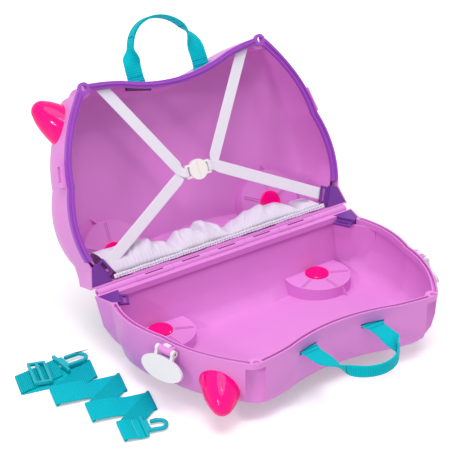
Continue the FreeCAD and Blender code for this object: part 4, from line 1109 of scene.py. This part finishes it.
@dataclass
class Pocket:
    """Gathered cloth pouch along the hinge side of the far half, with its elastic edge.

    The cloth runs from the edge (share 0) to the back (share 1). fold_lift and fold_push say how far gathers,
    valleys and creases move it up and out. Waves are rows of (size, pace, phase), creases rows of (cycles,
    slant, phase, size) and ruffles rows of (size, length, phase).
    """

    looks: Looks
    half_length: float = 180.0
    front_y: float = 16.6
    front_w: float = -3.6
    back_y: float = 21.8
    back_w: float = -57.0
    top_share: float = 0.40
    crest_power: float = 0.85
    crest_window: int = 11
    thickness: float = 0.7
    cloth_points: tuple[int, int] = (64, 421)
    cloth_fullness: float = 1.3
    cloth_depth: float = 110.0
    fan: float = 18.0
    fan_from: float = 0.84
    fold_lift: Triple = (0.3, -0.8, 0.6)
    fold_push: Triple = (0.5, -3.0, 1.1)
    gather_count: int = 61
    gather_drift: float = 2.0
    gather_waves: tuple[Triple, ...] = ((1.7, 3.1, 0.0), (0.9, 7.3, 1.0))
    gather_reach: float = 0.09
    gather_start: float = 0.03
    slack_power: float = 0.7
    face_rise: Pair = (0.02, 0.16)
    face_fall: Pair = (0.34, 0.6)
    creases: tuple[tuple[float, float, float, float], ...] = (
        (9.0, 2.1, 0.4, 1.0), (13.0, -3.0, 2.2, 0.8), (21.0, 4.2, 1.1, 0.45))
    crease_bend: Pair = (1.6, 2.3)
    crest_places: Row = (-180, -168, -150, -124, -108, -91, -74, -57, -45, -31, -23, -13, 2, 12,
                                       21, 40, 61, 91, 118, 135, 144, 153, 168, 180)
    crest_heights: Row = (53, 53, 51, 51, 48, 40, 34, 45.6, 45.3, 40, 49.7, 48.8, 41.3, 34.5,
                                        28, 33.5, 39.3, 43.4, 38.5, 31.3, 26, 32.4, 31.9, 24)
    valley_places: Row = (-158, -137, -98, -74, -50, -31, -9, 21, 44, 70, 103, 144, 163)
    valley_slants: Row = (9, -7, -11, 5, -8, 7, 13, -4, -15, -21, -13, 5, 7)
    valley_widths: Row = (6, 4.5, 5, 7, 4.5, 3.6, 4.5, 8, 5.5, 5.5, 6, 6, 4.5)
    valley_depths: Row = (1.8, 1.5, 1.7, 2.6, 1.5, 2.4, 1.6, 2.4, 1.8, 1.7, 1.9, 2.3, 1.2)
    valley_spread: Pair = (0.8, 0.5)
    edge_half_length: float = 186.0
    edge_y: float = 13.65
    edge_w: float = -2.0
    edge_height: float = 6.8
    edge_depth: float = 2.8
    edge_points: tuple[int, int] = (760, 20)
    edge_squareness: float = 3.0
    ruffles: tuple[Triple, ...] = ((0.65, 4.3, 0.0), (0.5, 6.7, 1.0))
    ruffle_height: Pair = (0.90, 0.14)
    ruffle_depth: Triple = (0.80, 0.24, 0.4)
    sway: Pair = (0.25, 37.0)
    groove: Pair = (0.3, 0.3)
    stitching: Stitching = Stitching(thickness=0.9)
    stitch_margins: Pair = (3.0, 4.0)
    stitch_pitch: float = 4.3
    stitch_length: float = 3.4
    stitch_front: float = 0.72

    def valleys(self, x: Array, t: Array) -> Array:
        """Depth of the valleys: a bell curve across each slanting line, wider towards the back."""
        places, slants, widths, depths = (np.array(row)[:, None, None] for row in (
            self.valley_places, self.valley_slants, self.valley_widths, self.valley_depths))
        line = places + slants * (1 - t / self.top_share)
        breadth = self.valley_spread[0] * widths * (1.0 + self.valley_spread[1] * t)
        return (depths * np.exp(-(((x - line) / breadth) ** 2))).sum(0)

    def creasing(self, u: Array, t: Array) -> Array:
        """Height of the creases: waves with sharp crests on slanting lines that wander along the hinge."""
        bend, pace = self.crease_bend
        total = 0.0
        for cycles, slant, phase, size in self.creases:
            shift = phase + slant * t + bend * np.sin(pace * u + cycles)
            total = total + size * (1 - 2 * np.abs(np.sin(math.pi * cycles * u / 2 + shift)))
        return total

    def surface(self) -> tuple[Array, Array]:
        """Cloth as a function of the place along the hinge and the place from the edge to the back.

        From the elastic edge the cloth rises to its crest as a sine raised to a low power and falls to the
        back. Short waves at the edge gather it and die out. Valleys run down from the crest, each a bell curve
        across its own slanting line, and low slanting waves crease the slack cloth between them.

        Returns:
            (rows, columns, 3) points in the far half and (rows, columns, 2) places in metres.
        """
        rows, columns = self.cloth_points
        u = np.linspace(-1.0, 1.0, columns)[None, :]
        t = np.linspace(0.0, 1.0, rows)[:, None]
        x = u * self.half_length
        crest = smooth(np.interp(x[0], self.crest_places, self.crest_heights), self.crest_window)
        profile = np.sin(math.pi * t ** (math.log(0.5) / math.log(self.top_share))) ** self.crest_power
        top = self.front_y + (self.back_y - self.front_y) * self.top_share
        y = self.front_y + (self.back_y - self.front_y) * t + (crest - top) * profile
        w = self.front_w + (self.back_w - self.front_w) * t
        drift = sum(size * np.sin(pace * u + phase) for size, pace, phase in self.gather_waves)
        gather = math.pi * self.gather_count * u + self.gather_drift * drift
        near = np.exp(-((t / self.gather_reach) ** 2)) * ease(t, 0.0, self.gather_start)
        slack = np.sin(math.pi * t ** self.slack_power)
        front = ease(t, *self.face_rise) * (1 - ease(t, *self.face_fall))
        valley = self.valleys(x, t)
        crease = self.creasing(u, t)
        lift, push = self.fold_lift, self.fold_push
        y = y + lift[0] * np.sin(gather) * near + lift[1] * valley * slack + lift[2] * crease * slack
        w = w + push[0] * np.cos(gather) * near + push[1] * valley * front + push[2] * crease * front
        leaning = x - self.fan * ease(-u, self.fan_from, 1.0) * profile
        uv = [x * MM * self.cloth_fullness, t * self.cloth_depth * MM]
        return (np.stack(np.broadcast_arrays(leaning, y, w), -1),
                np.stack([np.broadcast_to(part, y.shape) for part in uv], -1))

    def cloth(self) -> tuple[Piece, float]:
        """The pouch with a real cloth thickness, and its area in square metres."""
        points, uv = self.surface()
        rows, columns = points.shape[:2]
        placed = CASE.put(points, Place.FAR)
        a = placed[1:, :-1] - placed[:-1, :-1]
        b = placed[:-1, 1:] - placed[:-1, :-1]
        area = float(np.linalg.norm(np.cross(a, b), axis=-1).sum())
        faces = [grid_faces(rows, columns, False)]
        piece = make_piece("pocket_cloth", placed, faces, uv.reshape(-1, 2), outward=False)
        wall = piece.modifiers.new("cloth_thickness", "SOLIDIFY")
        wall.thickness = self.thickness * MM
        wall.offset = 0.0
        return piece, area

    def edge(self) -> Piece:
        """Ruffled elastic: a rounded strip whose height and depth pulse along the hinge.

        The section is a circle drawn towards a square, with a groove along the middle of each face.

        Returns:
            The piece.
        """
        rows, columns = self.edge_points
        x = np.linspace(-self.edge_half_length, self.edge_half_length, rows)[:, None]
        angle = np.linspace(0, 2 * math.pi, columns, endpoint=False)
        pulse = sum(size * np.sin(2 * math.pi * x / length + phase) for size, length, phase in self.ruffles)
        c, s = (np.sign(part) * np.abs(part) ** (2 / self.edge_squareness)
                for part in (np.cos(angle), np.sin(angle)))
        groove = 1 - self.groove[0] * np.exp(-((c / self.groove[1]) ** 2))
        height = self.ruffle_height[0] + self.ruffle_height[1] * pulse
        depth = self.ruffle_depth[0] + self.ruffle_depth[1] * pulse * (self.ruffle_depth[2] + np.abs(c) ** 2)
        slow = self.sway[0] * np.sin(2 * math.pi * x / self.sway[1])
        y = self.edge_y + self.edge_height / 2 * c * height + slow
        w = self.edge_w + self.edge_depth / 2 * s * groove * depth
        points = np.stack(np.broadcast_arrays(x, y, w), -1)
        uv = np.stack(np.broadcast_arrays(x * MM, self.edge_height / 2 * c * MM), -1)
        faces = [grid_faces(rows, columns, True), end_caps(rows, columns)]
        return make_piece("pocket_elastic", CASE.put(points, Place.FAR), faces, uv.reshape(-1, 2))

    def stitches(self) -> Piece:
        """Row of stitches along the middle of the elastic edge, on its front."""
        first, last = self.stitch_margins
        x = np.arange(-self.edge_half_length + first, self.edge_half_length - last, self.stitch_pitch)
        front = self.edge_w + self.edge_depth / 2 * self.stitch_front
        starts = np.stack([x, np.full_like(x, self.edge_y), np.full_like(x, front)], -1)
        ends = starts + [self.stitch_length, 0.0, 0.0]
        out = CASE.turn(np.tile([0.0, 0.0, 1.0], (len(x), 1)), Place.FAR)
        return self.stitching.piece("pocket_stitches", CASE.put(starts, Place.FAR),
                                    CASE.put(ends, Place.FAR), out)

    def build(self) -> list[Piece]:
        """Cloth, elastic edge and its stitches, riding on the far half."""
        cloth, area = self.cloth()
        edge = self.edge()
        stitches = self.stitches()
        for piece, finish in ((cloth, CLOTH), (edge, ELASTIC), (stitches, LILAC_THREAD)):
            self.looks.dress(piece, finish)
            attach(piece, "lid")
        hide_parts("pocket_fabric")
        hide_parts("pocket_edge")
        return [cloth, edge, stitches]


@dataclass
class TowStrap:
    """Webbing folded to and fro on the floor, with rows of stitches at its doubled end.

    route gives the fold lines' middles in unit lengths from the foot of the hinge, layers the layer on which
    each leg starts and ends, across the direction of the folds.
    """

    looks: Looks
    unit_length: float = 230.0
    route: tuple[Pair, ...] = (
        (-1.226, 0.022), (-1.522, -0.009), (-1.078, -0.109), (-1.430, -0.248), (-1.017, -0.339),
        (-1.352, -0.517), (-0.987, -0.609), (-1.313, -0.791), (-1.200, -0.826))
    layers: tuple[tuple[int, int], ...] = ((1, 1), (0, 0), (1, 1), (2, 0), (1, 1), (2, 0), (1, 1), (2, 1))
    across: Pair = (0.335, 0.942)
    width: float = 46.0
    thickness: float = 1.8
    clearance: float = 0.1
    lift: float = 2.1
    change: Pair = (0.3, 0.7)
    fold: float = 2.0
    fold_rise: float = 0.7
    rise_reach: float = 22.0
    leg_points: int = 34
    fold_points: int = 12
    band_points: int = 15
    smooth_window: int = 9
    stitching: Stitching = Stitching(thickness=0.6)
    seams: Triple = (18.0, 34.0, -10.0)
    seam_holes: int = 16

    def places(self) -> Array:
        """Middles of the fold lines, (n + 1, 2)."""
        return np.array(self.route) * self.unit_length

    def heights(self) -> Array:
        """Heights at the start and the end of each leg, (n, 2)."""
        return np.array(self.layers) * self.lift + self.thickness / 2 + self.clearance

    def leg(self, number: int) -> Array:
        """Points of one straight leg.

        It goes from the layer at its start to the one at its end by a smooth step, and next to a fold in
        which it is the upper leg it rises by a bell curve.

        Args:
            number: which leg.

        Returns:
            (m, 3) points over the floor.
        """
        t = np.linspace(0.0, 1.0, self.leg_points)
        start, stop = self.places()[number:number + 2]
        heights = self.heights()
        first, last = heights[number]
        length = float(np.linalg.norm(stop - start))
        z = first + (last - first) * ease(t, *self.change)
        if number > 0 and first > heights[number - 1, 1]:
            z = z + self.fold_rise * np.exp(-((t * length / self.rise_reach) ** 2))
        if number + 1 < len(heights) and last > heights[number + 1, 0]:
            z = z + self.fold_rise * np.exp(-(((1 - t) * length / self.rise_reach) ** 2))
        return np.column_stack([start + (stop - start) * t[:, None], z])

    def turn(self, number: int) -> Array:
        """Points of the fold after a leg: a half circle between the heights of the two legs.

        Args:
            number: which leg.

        Returns:
            (m, 3) points over the floor.
        """
        heights = self.heights()
        before, after = heights[number, 1], heights[number + 1, 0]
        out = np.array([self.across[1], -self.across[0]]) / math.hypot(*self.across)
        upper = max(before, after) + self.fold_rise
        lower = min(before, after)
        angle = np.linspace(0, math.pi, self.fold_points + 2)[1:-1]
        radius = (upper - lower) / 2 * (1.0 if before > after else -1.0)
        z = (upper + lower) / 2 + radius * np.cos(angle)
        reach = self.fold * np.sin(angle)[:, None] * (out if number % 2 else -out)
        return np.column_stack([self.places()[number + 1] + reach, z])

    def band(self) -> Band:
        """Flat legs joined by round folds, with the band's direction smoothed along the path."""
        parts = [self.leg(0)]
        for number in range(1, len(self.layers)):
            parts += [self.turn(number - 1), self.leg(number)]
        line = np.concatenate(parts)
        count = len(line)
        slope = np.gradient(line, axis=0)
        along = unit(np.column_stack([smooth(slope[:, k], self.smooth_window) for k in range(3)]))
        wide = np.tile([*self.across, 0.0], (count, 1)) / math.hypot(*self.across)
        thick = unit(np.cross(along, wide))
        return Band(CASE.put(line, Place.FLOOR), wide, thick, np.full(count, self.width / 2 * MM),
                    np.full(count, self.thickness / 2 * MM), across=self.band_points, two_sided=True)

    def build(self) -> list[Piece]:
        """Webbing and stitches, riding on the strap's body; seams below 0 count from its far end."""
        band = self.band()
        webbing = band.piece("tow_strap_webbing")
        run = band.lengths()
        seams = [seam * MM if seam > 0 else run[-1] + seam * MM for seam in self.seams]
        stitches = self.stitching.across("tow_strap_stitches", band, seams, self.seam_holes)
        for piece, finish in ((webbing, WEBBING), (stitches, PALE_THREAD)):
            self.looks.dress(piece, finish)
            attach(piece, "tow_strap")
        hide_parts("tow_webbing")
        return [webbing, stitches]


@dataclass(frozen=True)
class Lamp:
    """One lamp of the studio.

    An area has watts and a side in metres, a sun has watts per square metre and an angle in degrees. The
    place is in metres from the foot of the hinge.
    """

    name: str
    kind: str
    energy: float
    size: float
    place: Triple


@dataclass(frozen=True)
class Studio:
    """Pale floor, soft light and the camera."""

    azimuth: float = math.radians(-36.40)
    elevation: float = math.radians(27.55)
    roll: float = math.radians(0.165)
    distance: float = 2.790
    target: Triple = (-7.68, -20.34, 143.9)
    focal_pixels: float = 1967.6
    frame_pixels: float = 460.0
    sensor: float = 36.0
    clip: Pair = (0.05, 50.0)
    lamps: tuple[Lamp, ...] = (
        Lamp("sky_light", "SUN", 1.78, 45.0, (-0.35, -0.45, 3.4)),
        Lamp("key_softbox", "AREA", 13.0, 0.32, (-2.2, -0.7, 1.3)),
        Lamp("fill_softbox", "AREA", 7.0, 0.5, (2.2, -0.7, 1.3)),
        Lamp("strip_softbox", "AREA", 6.0, 0.5, (-0.8, -1.0, 2.7)),
    )
    lamp_sides: float = 0.6
    aim_height: float = 0.12
    floor_half: float = 9.0
    floor_tone: float = 0.86
    floor_glow: float = 0.32
    sky_tone: Colour = (1.0, 0.99, 1.0)
    sky_light: float = 0.44
    sky_seen: float = 0.60

    def camera(self) -> None:
        """Camera at the photograph's viewing angle, looking at a point beside the hinge."""
        a, e = self.azimuth, self.elevation
        back = Vector((math.sin(a) * math.cos(e), -math.cos(a) * math.cos(e), math.sin(e)))
        right = Vector((0, 0, 1)).cross(back).normalized()
        up = back.cross(right)
        c, s = math.cos(self.roll), math.sin(self.roll)
        right, up = c * right + s * up, c * up - s * right
        hinge = Vector((CASE.hinge[0], CASE.hinge[1], 0.0))
        place = hinge + Vector(self.target) * MM + back * self.distance
        data = bpy.data.cameras.new("view")
        data.sensor_width = self.sensor
        data.lens = self.sensor * self.focal_pixels / self.frame_pixels
        data.clip_start, data.clip_end = self.clip
        camera = add_object("view", data)
        camera.matrix_world = Matrix.Translation(place) @ Matrix((right, up, back)).transposed().to_4x4()
        bpy.context.scene.camera = camera

    def light(self, lamp: Lamp) -> None:
        """Set up a lamp so that it looks at the middle of the case."""
        data = bpy.data.lights.new(lamp.name, lamp.kind)
        data.energy = lamp.energy
        if lamp.kind == "AREA":
            data.shape = "RECTANGLE"
            data.size = lamp.size
            data.size_y = lamp.size * self.lamp_sides
        else:
            data.angle = math.radians(lamp.size)
        hinge = Vector((CASE.hinge[0], CASE.hinge[1], 0.0))
        thing = add_object(lamp.name, data)
        thing.location = hinge + Vector(lamp.place)
        aim = Vector((0.0, 0.0, self.aim_height)) - Vector(lamp.place)
        thing.rotation_euler = aim.to_track_quat("-Z", "Y").to_euler()

    @staticmethod
    def seen_rays(tree: Tree) -> Socket:
        """1 for camera, glossy and transmission rays, else 0."""
        path = tree.nodes.new("ShaderNodeLightPath")
        calc = partial(Looks.math_node, tree, "MAXIMUM")
        return calc(calc(path.outputs["Is Camera Ray"], path.outputs["Is Glossy Ray"]),
                    path.outputs["Is Transmission Ray"])

    def floor(self) -> None:
        """Large pale floor that keeps the shadow: matt white, with a little glow for the camera."""
        corners = np.array([[-1, -1, 0], [1, -1, 0], [1, 1, 0], [-1, 1, 0]]) * self.floor_half
        floor = make_piece("studio_floor", corners, [np.array([[0, 1, 2, 3]])], outward=False)
        material = bpy.data.materials.new("pale_floor")
        material.use_nodes = True
        tree = material.node_tree
        shader = tree.nodes["Principled BSDF"]
        tone = self.floor_tone
        for label, value in (("Base Color", (tone, tone, tone, 1.0)), ("Roughness", 0.9),
                             ("Specular IOR Level", 0.1), ("Emission Color", (1.0, 1.0, 1.0, 1.0))):
            shader.inputs[label].default_value = value
        strength = Looks.math_node(tree, "MULTIPLY", self.seen_rays(tree), self.floor_glow)
        tree.links.new(strength, shader.inputs["Emission Strength"])
        floor.data.materials.append(material)

    def world(self) -> None:
        """White surroundings for the camera and reflections, soft even light for the rest."""
        world = bpy.data.worlds.new("studio")
        world.use_nodes = True
        tree = world.node_tree
        light = tree.nodes["Background"]
        light.inputs["Color"].default_value = (*self.sky_tone, 1.0)
        level = Looks.math_node(tree, "MULTIPLY_ADD", self.seen_rays(tree), self.sky_seen, self.sky_light)
        tree.links.new(level, light.inputs["Strength"])
        bpy.context.scene.world = world

    def build(self) -> None:
        """Set the studio up."""
        self.camera()
        self.floor()
        self.world()
        for lamp in self.lamps:
            self.light(lamp)
        bpy.context.scene.view_settings.view_transform = "Standard"


def main() -> None:
    """Build the case's looks in order."""
    logging.basicConfig(level=logging.INFO, format="%(message)s")
    looks = Looks()
    Studio().build()
    assemblies = [
        Mouldings(looks),
        HingeLine(looks),
        CarryHandle(looks, "handle_base", Place.NEAR, rise=95.0, shift=-2.0, droop=2.0, twist_to=(0.3, 0.2)),
        CarryHandle(looks, "handle_lid", Place.FAR, rise=88.0, shift=-5.0, droop=0.0, foot_shift=-1.0,
                    twist_to=(0.15, 0.23), hem_width=28.5),
        LuggageStraps(looks),
        Pocket(looks),
        TowStrap(looks),
    ]
    for assembly in assemblies:
        for piece in assembly.build():
            LOG.info("%s: %d faces", piece.name, len(piece.data.polygons))


if __name__ == "__main__":
    main()
